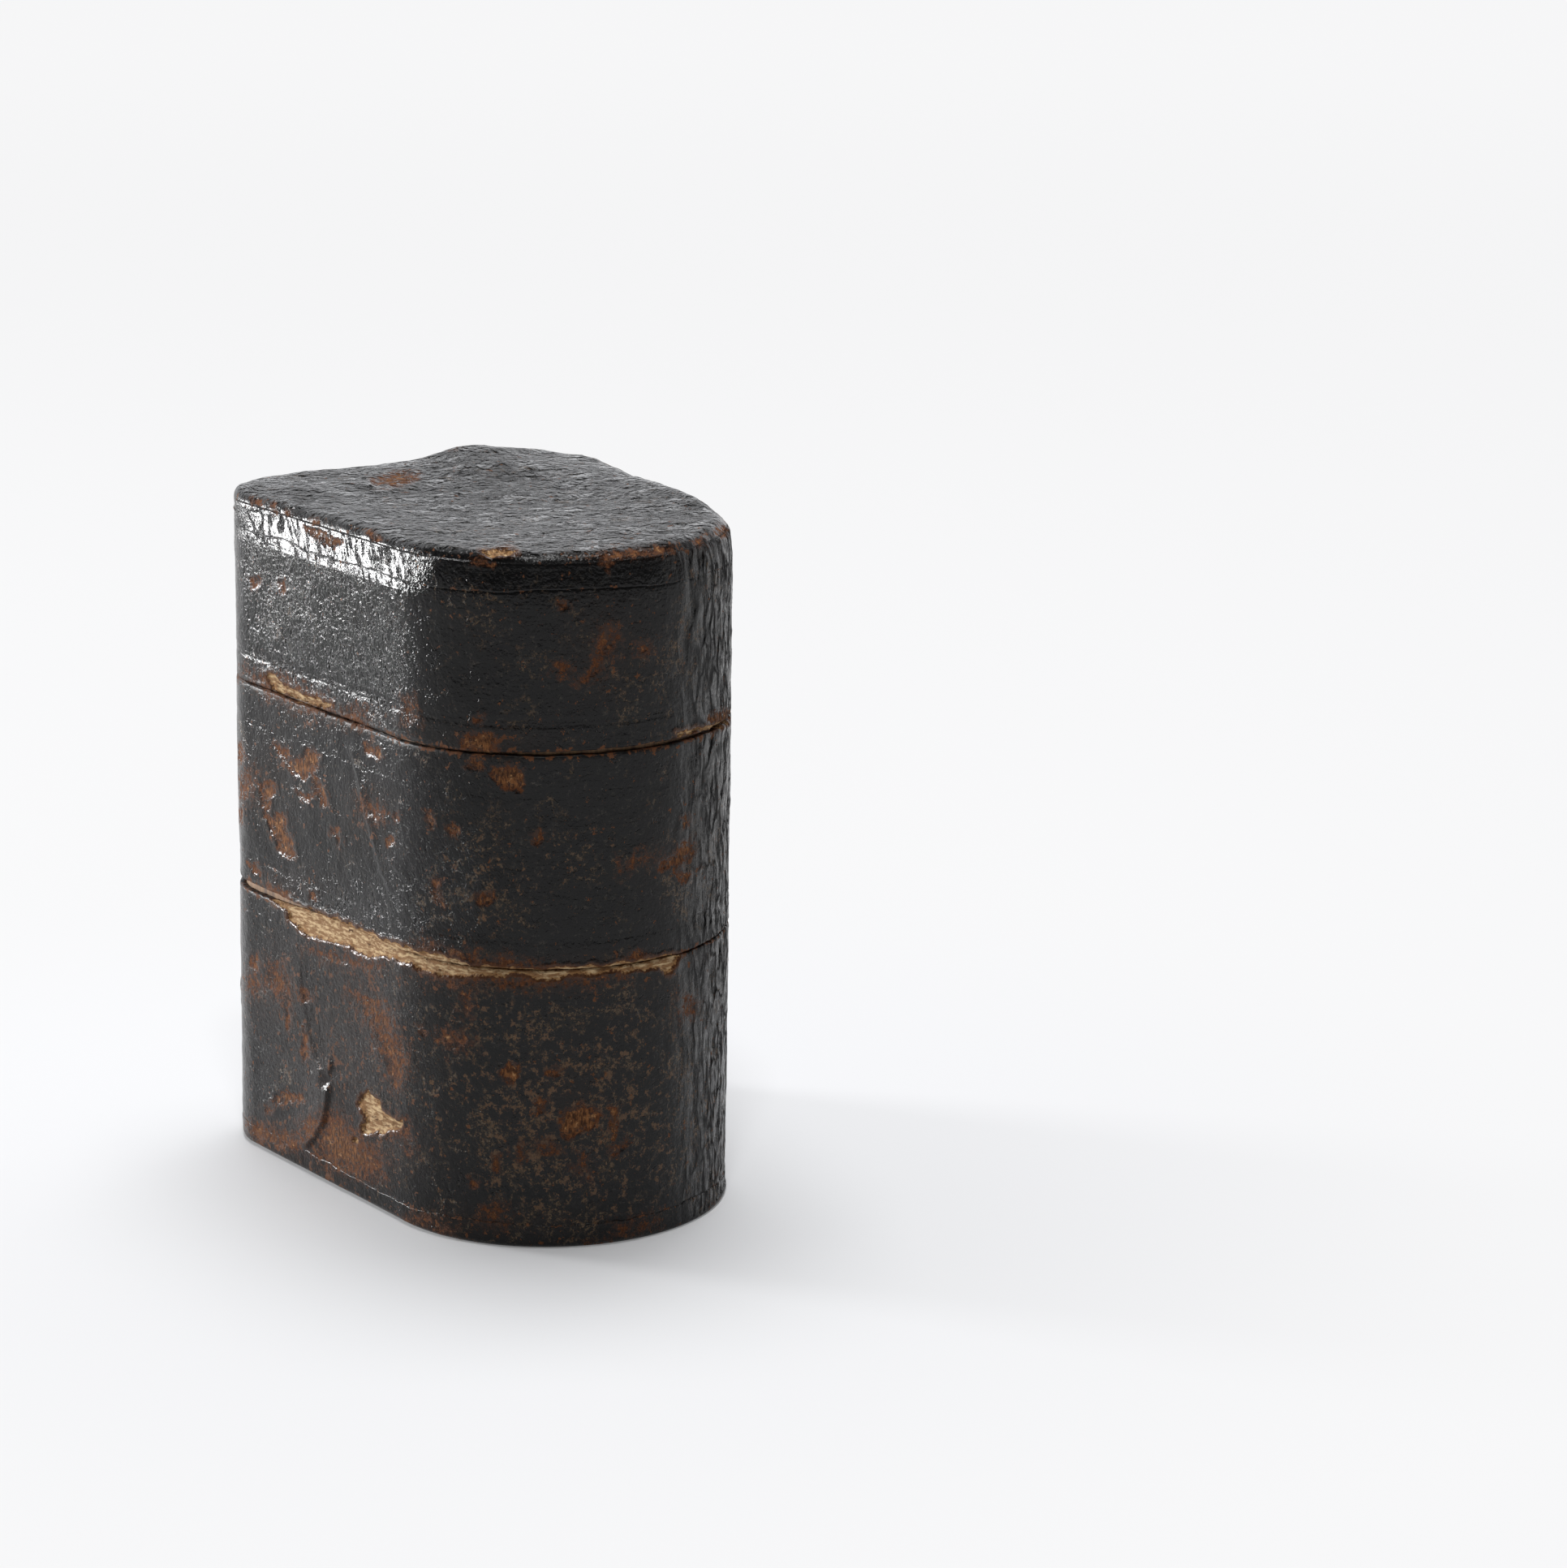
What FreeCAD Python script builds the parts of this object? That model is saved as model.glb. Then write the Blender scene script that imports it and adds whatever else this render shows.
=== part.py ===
import FreeCAD, Part
import math
import os
import re
import Sketcher

# A D-shaped travelling case in three sections that push into each other. Millimetres, +Z up.
# The origin is the centre of the case's footprint. The flat end faces -X and the round end +X.

# Driving dimensions, one row each: name, value, meaning.
SIZES = [
    ("case_length", 102.0, "outside length, from the flat end to the round end"),
    ("case_width", 79.0, "outside width at the flat end"),
    ("corner_radius", 16.0, "outside radius of the two corners of the flat end"),
    ("end_radius", 34.0, "outside radius of the round end"),
    ("base_height", 54.0, "floor to the lower seam"),
    ("middle_height", 40.5, "lower seam to the upper seam"),
    ("lid_height", 37.0, "upper seam to the top"),
    ("leather_thickness", 1.2, "covering leather"),
    ("wall_thickness", 3.0, "bent wooden walls"),
    ("collar_thickness", 1.5, "thin wooden collars"),
    ("collar_rise", 8.0, "height of each collar above its seam"),
    ("collar_lead", 0.5, "chamfer round the top of a collar"),
    ("collar_clearance", 0.2, "play of a collar in the section above it"),
    ("collar_headroom", 0.6, "space over the top of a collar"),
    ("glue_gap", 0.05, "film of glue between pieces"),
    ("block_clearance", 0.2, "play of a fitted block inside its collar"),
    ("block_drop", 3.0, "depth of the velvet surface below the collar's top"),
    ("base_floor_thickness", 4.0, "floor board of the base"),
    ("middle_floor_thickness", 3.0, "board under the middle section"),
    ("top_board_thickness", 4.0, "board under the top leather"),
    ("velvet_thickness", 0.8, "velvet and linings"),
    ("rim_radius", 3.0, "rounding of the top rim, on the leather"),
    ("foot_bevel", 1.0, "bevel of the bottom edge, on the leather"),
    ("seam_bevel", 0.4, "pared edge of the leather at the seams"),
    ("seam_setback", 0.15, "leather held back from each seam"),
    ("top_lap", 5.5, "top leather turned down the side"),
    ("bottom_lap", 4.6, "bottom leather turned up the side"),
    ("well_web", 2.6, "from one well's edge to the next, and to the flat end"),
    ("foot_well_depth", 22.0, "well for the folded foot"),
    ("foot_well_radius", 4.0, "corner radius of that well"),
    ("mirror_well_depth", 14.0, "well for the mirror"),
    ("pot_well_depth", 12.0, "wells for the two small pots"),
    ("flange_length", 5.0, "flange of the instrument's barrel"),
    ("flange_rise", 1.2, "flange radius beyond the barrel's radius"),
]

# Places and sizes worked out from the driving dimensions.
PLACES = {
    # heights
    "seam_low": "base_height",
    "seam_high": "base_height + middle_height",
    "case_top": "base_height + middle_height + lid_height",
    "board_top": "case_top - leather_thickness - glue_gap",
    "board_bottom": "board_top - top_board_thickness",
    "base_floor_bottom": "leather_thickness + glue_gap",
    "base_floor_top": "base_floor_bottom + base_floor_thickness",
    "base_collar_top": "seam_low + collar_rise",
    "base_velvet_top": "base_collar_top - block_drop",
    "base_block_top": "base_velvet_top - velvet_thickness",
    "middle_lining_bottom": "base_collar_top + collar_headroom",
    "middle_floor_bottom": "middle_lining_bottom + velvet_thickness",
    "middle_floor_top": "middle_floor_bottom + middle_floor_thickness",
    "middle_collar_top": "seam_high + collar_rise",
    "middle_velvet_top": "middle_collar_top - block_drop",
    "middle_block_top": "middle_velvet_top - velvet_thickness",
    "lid_lining_bottom": "middle_collar_top + collar_headroom",
    # insets from the outside of the case
    "wall_inset": "leather_thickness + glue_gap",
    "wall_inside": "wall_inset + wall_thickness",
    "board_inset": "wall_inside + glue_gap",
    "collar_inset": "wall_inside + collar_clearance",
    "collar_inside": "collar_inset + collar_thickness",
    "block_inset": "collar_inside + block_clearance",
    # the plan's three arc centres
    "corner_x": "case_length / 2 - corner_radius",
    "corner_y": "case_width / 2 - corner_radius",
    "end_x": "case_length / 2 - end_radius",
    # room inside a collar: its length, half its width at the flat end, and its round end's radius
    "room_length": "case_length - 2 * block_inset",
    "room_side": "case_width / 2 - block_inset",
    "room_radius": "end_radius - block_inset",
    "well_growth": "velvet_thickness + glue_gap",
    # the foot's well, along the -Y side
    "foot_well_x": "-0.085 * room_length",
    "foot_well_y": "-0.6 * room_radius",
    "foot_well_length": "0.74 * room_length",
    "foot_well_width": "0.62 * room_radius",
    "foot_well_edge": "foot_well_y + foot_well_width / 2",
    # the mirror's well, between the flat end, the foot's well and the +Y side
    "mirror_well_radius": "0.425 * (room_side - foot_well_edge)",
    "mirror_well_x": "mirror_well_radius + well_web - room_length / 2",
    "mirror_well_y": "mirror_well_radius + well_web + foot_well_edge",
    "mirror_well_edge": "mirror_well_x + mirror_well_radius",
    # the two pots' wells, in a row towards the round end
    "pot_well_radius": "0.148 * (room_length / 2 - mirror_well_edge)",
    "near_pot_x": "mirror_well_edge + well_web + pot_well_radius",
    "near_pot_y": "0.4 * room_radius",
    "far_pot_x": "near_pot_x + well_web + 2 * pot_well_radius",
    "far_pot_y": "0.3 * room_radius",
    # the barrel's trough, with its narrower end towards the round end
    "barrel_y": "-0.215 * room_radius",
    "barrel_start": "-0.475 * room_length",
    "barrel_shoulder": "0.285 * room_length",
    "barrel_end": "0.38 * room_length",
    "barrel_radius": "0.61 * room_radius",
    "barrel_end_radius": "0.455 * room_radius",
    # the handle's trough, along the +Y side
    "handle_y": "0.72 * room_radius",
    "handle_start": "-0.4 * room_length",
    "handle_waist": "-0.12 * room_length",
    "handle_end": "0.26 * room_length",
    "handle_radius": "0.2 * room_radius",
    "handle_stem_radius": "0.145 * room_radius",
}

# How closely an edge's height is matched, as a share of the case's height
MATCH_SHARE = 0.00001

# A bevel of this share of a radius is tangent to the arc that it stands for
BEVEL_SHARE = 2 - math.sqrt(2)

FULL_TURN = 360
HALF_TURN = 180

# A sketch's numbers for a piece's first end, last end and centre, and for its own two axes
FOOT, HEAD, CENTRE = range(1, 4)
UPWARD, ACROSS = range(-2, 0)
ORIGIN = (ACROSS, FOOT)

doc = FreeCAD.newDocument("microscope_case")
sheet = doc.addObject("Spreadsheet::Sheet", "Sizes")
for row, (alias, value, meaning) in enumerate(SIZES, start=1):
    sheet.set("A%d" % row, meaning)
    sheet.set("B%d" % row, str(value))
    sheet.setAlias("B%d" % row, alias)
doc.recompute()
ALIASES = {alias for alias, value, meaning in SIZES}


def spelled(text):
    """An expression in the sheet's own names, from one in names of sizes and places."""
    def one(match):
        word = match.group(0)
        if word in PLACES:
            return "(" + spelled(PLACES[word]) + ")"
        if word in ALIASES:
            return "Sizes." + word
        return word
    return re.sub(r"[a-z_]+", one, text)


def number(text):
    """The present value of an expression."""
    return float(sheet.evalExpression(spelled(text)))


def bind(thing, path, text):
    thing.setExpression(path, spelled(text))


def share(value, whole):
    return "(%r * %s)" % (value, whole)


# Sketch helpers


def hold(sketch, constraint, text):
    """Adds a dimension and binds it to an expression."""
    place = sketch.addConstraint(constraint)
    sketch.setExpression("Constraints[%d]" % place, spelled(text))


def hold_point(sketch, shape, point, x, y):
    """Fixes a point at x, y, each an expression or 0."""
    for direction, axis, text in (("DistanceX", UPWARD, x), ("DistanceY", ACROSS, y)):
        if text == "0":
            sketch.addConstraint(Sketcher.Constraint("PointOnObject", shape, point, axis))
        elif number(text) > 0:
            hold(sketch, Sketcher.Constraint(direction, *ORIGIN, shape, point, number(text)), text)
        else:
            back = "-(%s)" % text
            hold(sketch, Sketcher.Constraint(direction, shape, point, *ORIGIN, number(back)), back)


def flat(x, y):
    return FreeCAD.Vector(x, y, 0)


def add_arc(sketch, x, y, radius, start, end):
    circle = Part.Circle(flat(x, y), FreeCAD.Vector(0, 0, 1), radius)
    return sketch.addGeometry(Part.ArcOfCircle(circle, start, end))


def add_line(sketch, start, end):
    return sketch.addGeometry(Part.LineSegment(flat(*start), flat(*end)))


def join_smoothly(sketch, loop):
    """Makes each piece of a loop run on from the one before it without a corner."""
    for here, after in zip(loop, loop[1:] + loop[:1]):
        sketch.addConstraint(Sketcher.Constraint("Tangent", here, HEAD, after, FOOT))


def d_outline(sketch, inset):
    """The plan of the case, drawn in by inset: flat end, two corners, two sides and the round end."""
    corner_x, corner_y, end_x = (number(name) for name in ("corner_x", "corner_y", "end_x"))
    corner = number("corner_radius - (%s)" % inset)
    end = number("end_radius - (%s)" % inset)
    across = math.hypot(end_x + corner_x, corner_y)
    lean = math.atan2(-corner_y, end_x + corner_x)
    normal = lean + math.acos((corner - end) / across)
    cosine = math.cos(normal)
    sine = math.sin(normal)
    corner_touch = (-corner_x + corner * cosine, corner_y + corner * sine)
    end_touch = (end_x + end * cosine, end * sine)
    loop = [
        add_line(sketch, (corner_touch[0], -corner_touch[1]), (end_touch[0], -end_touch[1])),
        add_arc(sketch, end_x, 0, end, -normal, normal),
        add_line(sketch, end_touch, corner_touch),
        add_arc(sketch, -corner_x, corner_y, corner, normal, math.pi),
        add_line(sketch, (-corner_x - corner, corner_y), (-corner_x - corner, -corner_y)),
        add_arc(sketch, -corner_x, -corner_y, corner, math.pi, 2 * math.pi - normal),
    ]
    join_smoothly(sketch, loop)
    hold_point(sketch, loop[1], CENTRE, "end_x", "0")
    hold_point(sketch, loop[3], CENTRE, "-corner_x", "corner_y")
    hold_point(sketch, loop[5], CENTRE, "-corner_x", "-corner_y")
    hold(sketch, Sketcher.Constraint("Radius", loop[1], end), "end_radius - (%s)" % inset)
    for arc in (loop[3], loop[5]):
        hold(sketch, Sketcher.Constraint("Radius", arc, corner), "corner_radius - (%s)" % inset)


def round_outline(sketch, x, y, radius):
    circle = Part.Circle(flat(number(x), number(y)), FreeCAD.Vector(0, 0, 1), number(radius))
    shape = sketch.addGeometry(circle)
    hold_point(sketch, shape, CENTRE, x, y)
    hold(sketch, Sketcher.Constraint("Radius", shape, number(radius)), radius)


def slot_outline(sketch, x, y, length, width, radius):
    """A rectangle with rounded corners, centred on x, y."""
    right = number("(%s) / 2 - (%s)" % (length, radius))
    top = number("(%s) / 2 - (%s)" % (width, radius))
    curve = number(radius)
    middle_x = number(x)
    middle_y = number(y)
    quarter = math.pi / 2
    loop = []
    for step, (side_x, side_y) in enumerate(((1, 1), (-1, 1), (-1, -1), (1, -1))):
        centre = (middle_x + side_x * right, middle_y + side_y * top)
        loop.append(add_arc(sketch, *centre, curve, step * quarter, (step + 1) * quarter))
        ahead = (step + 1) * quarter
        reach = (curve * math.cos(ahead), curve * math.sin(ahead))
        turned = [(-1, 1), (-1, -1), (1, -1), (1, 1)][step]
        after = (middle_x + turned[0] * right, middle_y + turned[1] * top)
        start = (centre[0] + reach[0], centre[1] + reach[1])
        loop.append(add_line(sketch, start, (after[0] + reach[0], after[1] + reach[1])))
    join_smoothly(sketch, loop)
    for line in (loop[1], loop[5]):
        sketch.addConstraint(Sketcher.Constraint("Horizontal", line))
    for line in (loop[3], loop[7]):
        sketch.addConstraint(Sketcher.Constraint("Vertical", line))
    for arc in (loop[2], loop[4], loop[6]):
        sketch.addConstraint(Sketcher.Constraint("Equal", loop[0], arc))
    hold(sketch, Sketcher.Constraint("Radius", loop[0], curve), radius)
    far = ("(%s) + (%s) / 2 - (%s)" % (x, length, radius), "(%s) + (%s) / 2 - (%s)" % (y, width, radius))
    near = ("(%s) - (%s) / 2 + (%s)" % (x, length, radius), "(%s) - (%s) / 2 + (%s)" % (y, width, radius))
    hold_point(sketch, loop[0], CENTRE, *far)
    hold_point(sketch, loop[4], CENTRE, *near)


def corner_outline(sketch, corners):
    """A closed outline of straight lines through corners, each a pair of expressions."""
    values = [(number(x), number(y)) for x, y in corners]
    lines = [add_line(sketch, start, end) for start, end in zip(values, values[1:] + values[:1])]
    for here, after in zip(lines, lines[1:] + lines[:1]):
        sketch.addConstraint(Sketcher.Constraint("Coincident", here, HEAD, after, FOOT))
    for line, (x, y) in zip(lines, corners):
        hold_point(sketch, line, FOOT, x, y)


# Body helpers


def new_body(name):
    body = doc.addObject("PartDesign::Body", name)
    body.Label = name
    return body


def new_sketch(body, name, level, y="0"):
    """A level sketch of the body at a height, with its own X axis at y."""
    sketch = body.newObject("Sketcher::SketchObject", body.Name + "_" + name)
    ground = next(item for item in body.Origin.OriginFeatures if item.Role == "XY_Plane")
    sketch.AttachmentSupport = [(ground, "")]
    sketch.MapMode = "FlatFace"
    bind(sketch, "AttachmentOffset.Base.z", level)
    if y != "0":
        bind(sketch, "AttachmentOffset.Base.y", y)
    return sketch


def pad(body, sketch, height):
    """Raises the sketch by a height."""
    feature = body.newObject("PartDesign::Pad", sketch.Name + "_pad")
    feature.Profile = sketch
    bind(feature, "Length", height)
    return feature


def pocket(body, sketch, depth, upward=False):
    """Cuts the sketch out of the body, downward unless upward is set."""
    feature = body.newObject("PartDesign::Pocket", sketch.Name + "_pocket")
    feature.Profile = sketch
    feature.Reversed = upward
    bind(feature, "Length", depth)
    return feature


def level_edges(feature, level):
    """The names of the edges that lie wholly at one height."""
    height = number(level)
    near = MATCH_SHARE * number("case_top")
    names = []
    for place, edge in enumerate(feature.Shape.Edges, start=1):
        box = edge.BoundBox
        if abs(box.ZMin - height) < near and abs(box.ZMax - height) < near:
            names.append("Edge%d" % place)
    return names


def dress(body, kind, feature, levels, path, text):
    """Rounds or chamfers the edges of a feature that lie at the given heights."""
    doc.recompute()
    edges = [name for level in levels for name in level_edges(feature, level)]
    dressed = body.newObject(kind, "%s_%s" % (feature.Name, path.lower()))
    dressed.Base = (feature, edges)
    bind(dressed, path, text)
    return dressed


def fillet(body, feature, levels, radius):
    return dress(body, "PartDesign::Fillet", feature, levels, "Radius", radius)


def chamfer(body, feature, levels, size):
    return dress(body, "PartDesign::Chamfer", feature, levels, "Size", size)


def plate(name, inset, bottom, top):
    """A flat board of the case's plan."""
    body = new_body(name)
    sketch = new_sketch(body, "plan", bottom)
    d_outline(sketch, inset)
    pad(body, sketch, "(%s) - (%s)" % (top, bottom))
    return body


def ring(name, outside, inside, bottom, top):
    """A wall that follows the case's plan between two insets."""
    body = new_body(name)
    sketch = new_sketch(body, "plan", bottom)
    d_outline(sketch, outside)
    d_outline(sketch, inside)
    pad(body, sketch, "(%s) - (%s)" % (top, bottom))
    return body


def collar(name, bottom, top):
    """A thin ring with a chamfer round its top edge, which leads it into the section above."""
    body = new_body(name)
    plan = new_sketch(body, "plan", bottom)
    d_outline(plan, "collar_inset")
    raised = pad(body, plan, "(%s) - (%s)" % (top, bottom))
    chamfer(body, raised, [top], "collar_lead")
    bore = new_sketch(body, "bore", top)
    d_outline(bore, "collar_inside")
    pocket(body, bore, "(%s) - (%s)" % (top, bottom))
    return body


def side_leather(name, bottom, top, worn):
    """Covering leather round one section, pared to a bevel at the seams listed in worn."""
    body = new_body(name)
    plan = new_sketch(body, "plan", bottom)
    d_outline(plan, "0")
    raised = pad(body, plan, "(%s) - (%s)" % (top, bottom))
    chamfer(body, raised, worn, "seam_bevel")
    bore = new_sketch(body, "bore", top)
    d_outline(bore, "leather_thickness")
    pocket(body, bore, "(%s) - (%s)" % (top, bottom))
    return body


# Outlines of the wells and troughs, each grown by an amount for the lining and the wood round it


def foot_well(sketch, growth):
    slot_outline(
        sketch,
        "foot_well_x",
        "foot_well_y",
        "foot_well_length + 2 * (%s)" % growth,
        "foot_well_width + 2 * (%s)" % growth,
        "foot_well_radius + (%s)" % growth,
    )


def mirror_well(sketch, growth):
    round_outline(sketch, "mirror_well_x", "mirror_well_y", "mirror_well_radius + (%s)" % growth)


def pot_wells(sketch, growth):
    for x, y in (("near_pot_x", "near_pot_y"), ("far_pot_x", "far_pot_y")):
        round_outline(sketch, x, y, "pot_well_radius + (%s)" % growth)


WELLS = [
    ("foot_well", foot_well, "foot_well_depth"),
    ("mirror_well", mirror_well, "mirror_well_depth"),
    ("pot_well", pot_wells, "pot_well_depth"),
]


def barrel_steps(growth):
    """Half the barrel's length section: a flange, the barrel and its narrower end, as x and radius."""
    start = "barrel_start - (%s)" % growth
    flange = "barrel_start + flange_length + (%s)" % growth
    shoulder = "barrel_shoulder + (%s)" % growth
    end = "barrel_end + (%s)" % growth
    rim = "barrel_radius + flange_rise + (%s)" % growth
    barrel = "barrel_radius + (%s)" % growth
    nose = "barrel_end_radius + (%s)" % growth
    return [
        (start, rim),
        (flange, rim),
        (flange, barrel),
        (shoulder, barrel),
        (shoulder, nose),
        (end, nose),
    ]


def handle_steps(growth):
    """Half the handle's length section: a thick grip and a thinner stem."""
    start = "handle_start - (%s)" % growth
    waist = "handle_waist + (%s)" % growth
    end = "handle_end + (%s)" % growth
    grip = "handle_radius + (%s)" % growth
    stem = "handle_stem_radius + (%s)" % growth
    return [(start, grip), (waist, grip), (waist, stem), (end, stem)]


TROUGHS = [
    ("barrel_trough", barrel_steps, "barrel_y"),
    ("handle_trough", handle_steps, "handle_y"),
]


def half_section(steps):
    """A stepped section closed along the axis it turns on."""
    return [(steps[0][0], "0")] + steps + [(steps[-1][0], "0")]


def both_sides(steps):
    """The stepped outline of a trough seen from above, the same on both sides of its axis."""
    return steps + [(x, "-(%s)" % y) for x, y in reversed(steps)]


def turned(body, kind, sketch, angle, below=False):
    """Turns a sketch about its own X axis."""
    feature = body.newObject(kind, sketch.Name + "_turned")
    feature.Profile = sketch
    feature.ReferenceAxis = (sketch, ["H_Axis"])
    feature.Angle = angle
    feature.Reversed = below
    return feature


# Base section


def base_bottom_leather():
    body = new_body("base_bottom_leather")
    plan = new_sketch(body, "plan", "0")
    d_outline(plan, "0")
    raised = pad(body, plan, "bottom_lap")
    chamfer(body, raised, ["0"], "foot_bevel")
    bore = new_sketch(body, "bore", "bottom_lap")
    d_outline(bore, "leather_thickness")
    pocket(body, bore, "bottom_lap - leather_thickness")
    return body


def base_block():
    body = plate("base_block", "block_inset", "base_floor_top", "base_block_top")
    for name, outline, depth in WELLS:
        sketch = new_sketch(body, name, "base_block_top")
        outline(sketch, "well_growth")
        pocket(body, sketch, depth + " + well_growth")
    return body


def base_top_velvet():
    body = new_body("base_top_velvet")
    sketch = new_sketch(body, "plan", "base_block_top")
    d_outline(sketch, "block_inset")
    for name, outline, depth in WELLS:
        outline(sketch, "0")
    pad(body, sketch, "velvet_thickness")
    return body


def well_lining(name, outline, depth):
    """A cup of velvet with an open top, level with the top of the block."""
    body = new_body(name + "_lining")
    plan = new_sketch(body, "plan", "base_block_top - %s - velvet_thickness" % depth)
    outline(plan, "velvet_thickness")
    pad(body, plan, depth + " + velvet_thickness")
    bore = new_sketch(body, "bore", "base_block_top")
    outline(bore, "0")
    pocket(body, bore, depth)
    return body


# Middle section


def middle_block():
    body = plate("middle_block", "block_inset", "middle_floor_top", "middle_block_top")
    for name, steps, y in TROUGHS:
        sketch = new_sketch(body, name, "middle_block_top", y)
        corner_outline(sketch, half_section(steps("well_growth")))
        turned(body, "PartDesign::Groove", sketch, FULL_TURN)
    return body


def middle_top_velvet():
    body = plate("middle_top_velvet", "block_inset", "middle_block_top", "middle_velvet_top")
    for name, steps, y in TROUGHS:
        sketch = new_sketch(body, name, "middle_velvet_top", y)
        corner_outline(sketch, both_sides(steps("0")))
        pocket(body, sketch, "velvet_thickness")
    return body


def trough_lining(name, steps, y):
    """A half tube of velvet with closed ends, level with the top of the block."""
    body = new_body(name + "_lining")
    sketch = new_sketch(body, "section", "middle_block_top", y)
    outside = half_section(steps("velvet_thickness"))
    inside = half_section(steps("0"))
    corner_outline(sketch, outside + inside[::-1])
    turned(body, "PartDesign::Revolution", sketch, HALF_TURN, below=True)
    return body


# Lid


def lid_top_board():
    """The board under the top leather, bevelled under its rounded rim."""
    body = new_body("lid_top_board")
    plan = new_sketch(body, "plan", "board_bottom")
    d_outline(plan, "wall_inset")
    raised = pad(body, plan, "top_board_thickness")
    chamfer(body, raised, ["board_top"], share(BEVEL_SHARE, "(rim_radius - wall_inset)"))
    return body


def lid_top_leather():
    """A cap over the top board, turned down the side, with a rounded rim."""
    body = new_body("lid_top_leather")
    plan = new_sketch(body, "plan", "case_top - top_lap")
    d_outline(plan, "0")
    raised = pad(body, plan, "top_lap")
    fillet(body, raised, ["case_top"], "rim_radius")
    hollow = new_sketch(body, "hollow", "case_top - top_lap")
    d_outline(hollow, "leather_thickness")
    cut = pocket(body, hollow, "top_lap - leather_thickness", upward=True)
    inside = share(BEVEL_SHARE, "(rim_radius - leather_thickness)")
    chamfer(body, cut, ["case_top - leather_thickness"], inside)
    return body


# The assembly

pieces = [
    base_bottom_leather(),
    side_leather(
        "base_side_leather",
        "bottom_lap + glue_gap",
        "seam_low - seam_setback",
        ["seam_low - seam_setback"],
    ),
    ring("base_wall", "wall_inset", "wall_inside", "base_floor_bottom", "seam_low"),
    plate("base_floor", "board_inset", "base_floor_bottom", "base_floor_top"),
    collar("base_collar", "base_floor_top", "base_collar_top"),
    base_block(),
    base_top_velvet(),
]
for name, outline, depth in WELLS:
    pieces.append(well_lining(name, outline, depth))
pieces += [
    side_leather(
        "middle_side_leather",
        "seam_low + seam_setback",
        "seam_high - seam_setback",
        ["seam_low + seam_setback", "seam_high - seam_setback"],
    ),
    ring("middle_wall", "wall_inset", "wall_inside", "seam_low", "seam_high"),
    plate("middle_under_lining", "board_inset", "middle_lining_bottom", "middle_floor_bottom"),
    plate("middle_floor", "board_inset", "middle_floor_bottom", "middle_floor_top"),
    collar("middle_collar", "middle_floor_top", "middle_collar_top"),
    middle_block(),
    middle_top_velvet(),
]
for name, steps, y in TROUGHS:
    pieces.append(trough_lining(name, steps, y))
pieces += [
    side_leather(
        "lid_side_leather",
        "seam_high + seam_setback",
        "case_top - top_lap - glue_gap",
        ["seam_high + seam_setback"],
    ),
    ring("lid_wall", "wall_inset", "wall_inside", "seam_high", "board_bottom"),
    lid_top_board(),
    lid_top_leather(),
    ring(
        "lid_wall_lining",
        "board_inset",
        "board_inset + velvet_thickness",
        "lid_lining_bottom",
        "board_bottom - velvet_thickness",
    ),
    plate("lid_top_lining", "board_inset", "board_bottom - velvet_thickness", "board_bottom"),
]

doc.recompute()

for thing in doc.Objects:
    if "Invalid" in thing.State or "Error" in thing.State:
        raise RuntimeError("%s failed: %s" % (thing.Name, thing.State))

os.makedirs("parts", exist_ok=True)
for piece in pieces:
    if piece.Shape.isNull() or not piece.Shape.isValid():
        raise RuntimeError("%s has no valid shape" % piece.Label)
for piece in pieces:
    shape = piece.Shape
    print("%-22s solids %d  volume %9.1f" % (piece.Label, len(shape.Solids), shape.Volume))
    shape.exportStep("parts/%s.step" % piece.Label)
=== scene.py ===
import math

import bpy
import numpy as np
from mathutils import Matrix, Vector


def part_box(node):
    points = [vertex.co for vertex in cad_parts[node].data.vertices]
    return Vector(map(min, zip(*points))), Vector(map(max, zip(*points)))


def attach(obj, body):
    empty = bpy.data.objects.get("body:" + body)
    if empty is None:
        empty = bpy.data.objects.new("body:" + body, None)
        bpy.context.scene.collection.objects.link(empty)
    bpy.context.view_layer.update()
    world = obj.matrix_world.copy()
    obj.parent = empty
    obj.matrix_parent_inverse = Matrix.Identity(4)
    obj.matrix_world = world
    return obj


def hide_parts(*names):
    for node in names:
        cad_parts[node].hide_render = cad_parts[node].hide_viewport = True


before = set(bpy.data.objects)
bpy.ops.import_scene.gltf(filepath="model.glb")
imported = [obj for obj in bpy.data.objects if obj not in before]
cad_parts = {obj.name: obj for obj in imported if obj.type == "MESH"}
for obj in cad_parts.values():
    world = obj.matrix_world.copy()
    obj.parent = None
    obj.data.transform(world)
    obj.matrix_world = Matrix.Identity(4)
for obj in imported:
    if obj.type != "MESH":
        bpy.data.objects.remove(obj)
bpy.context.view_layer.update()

# A worn leather case in three sections. Lengths are millimetres unless a name says otherwise.
MM = 0.001

# The plan of the case and the leather that covers it
CASE_LENGTH = 102.0
CASE_WIDTH = 79.0
CORNER_RADIUS = 16.0
END_RADIUS = 34.0
LEATHER = 1.2
RIM_RADIUS = 3.0
FOOT_RADIUS = 1.4
EDGE_RADIUS = 0.45

# Heights and depths of the leather's relief
DENT_HEIGHT = 0.22
LUMP_HEIGHT = 0.07
WRINKLE_HEIGHT = 0.25
FAINT_WRINKLE_HEIGHT = 0.02
FIBRE_HEIGHT = 0.16
RIPPLE_HEIGHT = 0.38
CUT_EDGE_HEIGHT = 0.12
BROWN_DEPTH = 0.13
CREAM_DEPTH = 0.5
DISH_DEPTH = 0.75
DEEPEST = 1.05

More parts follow.
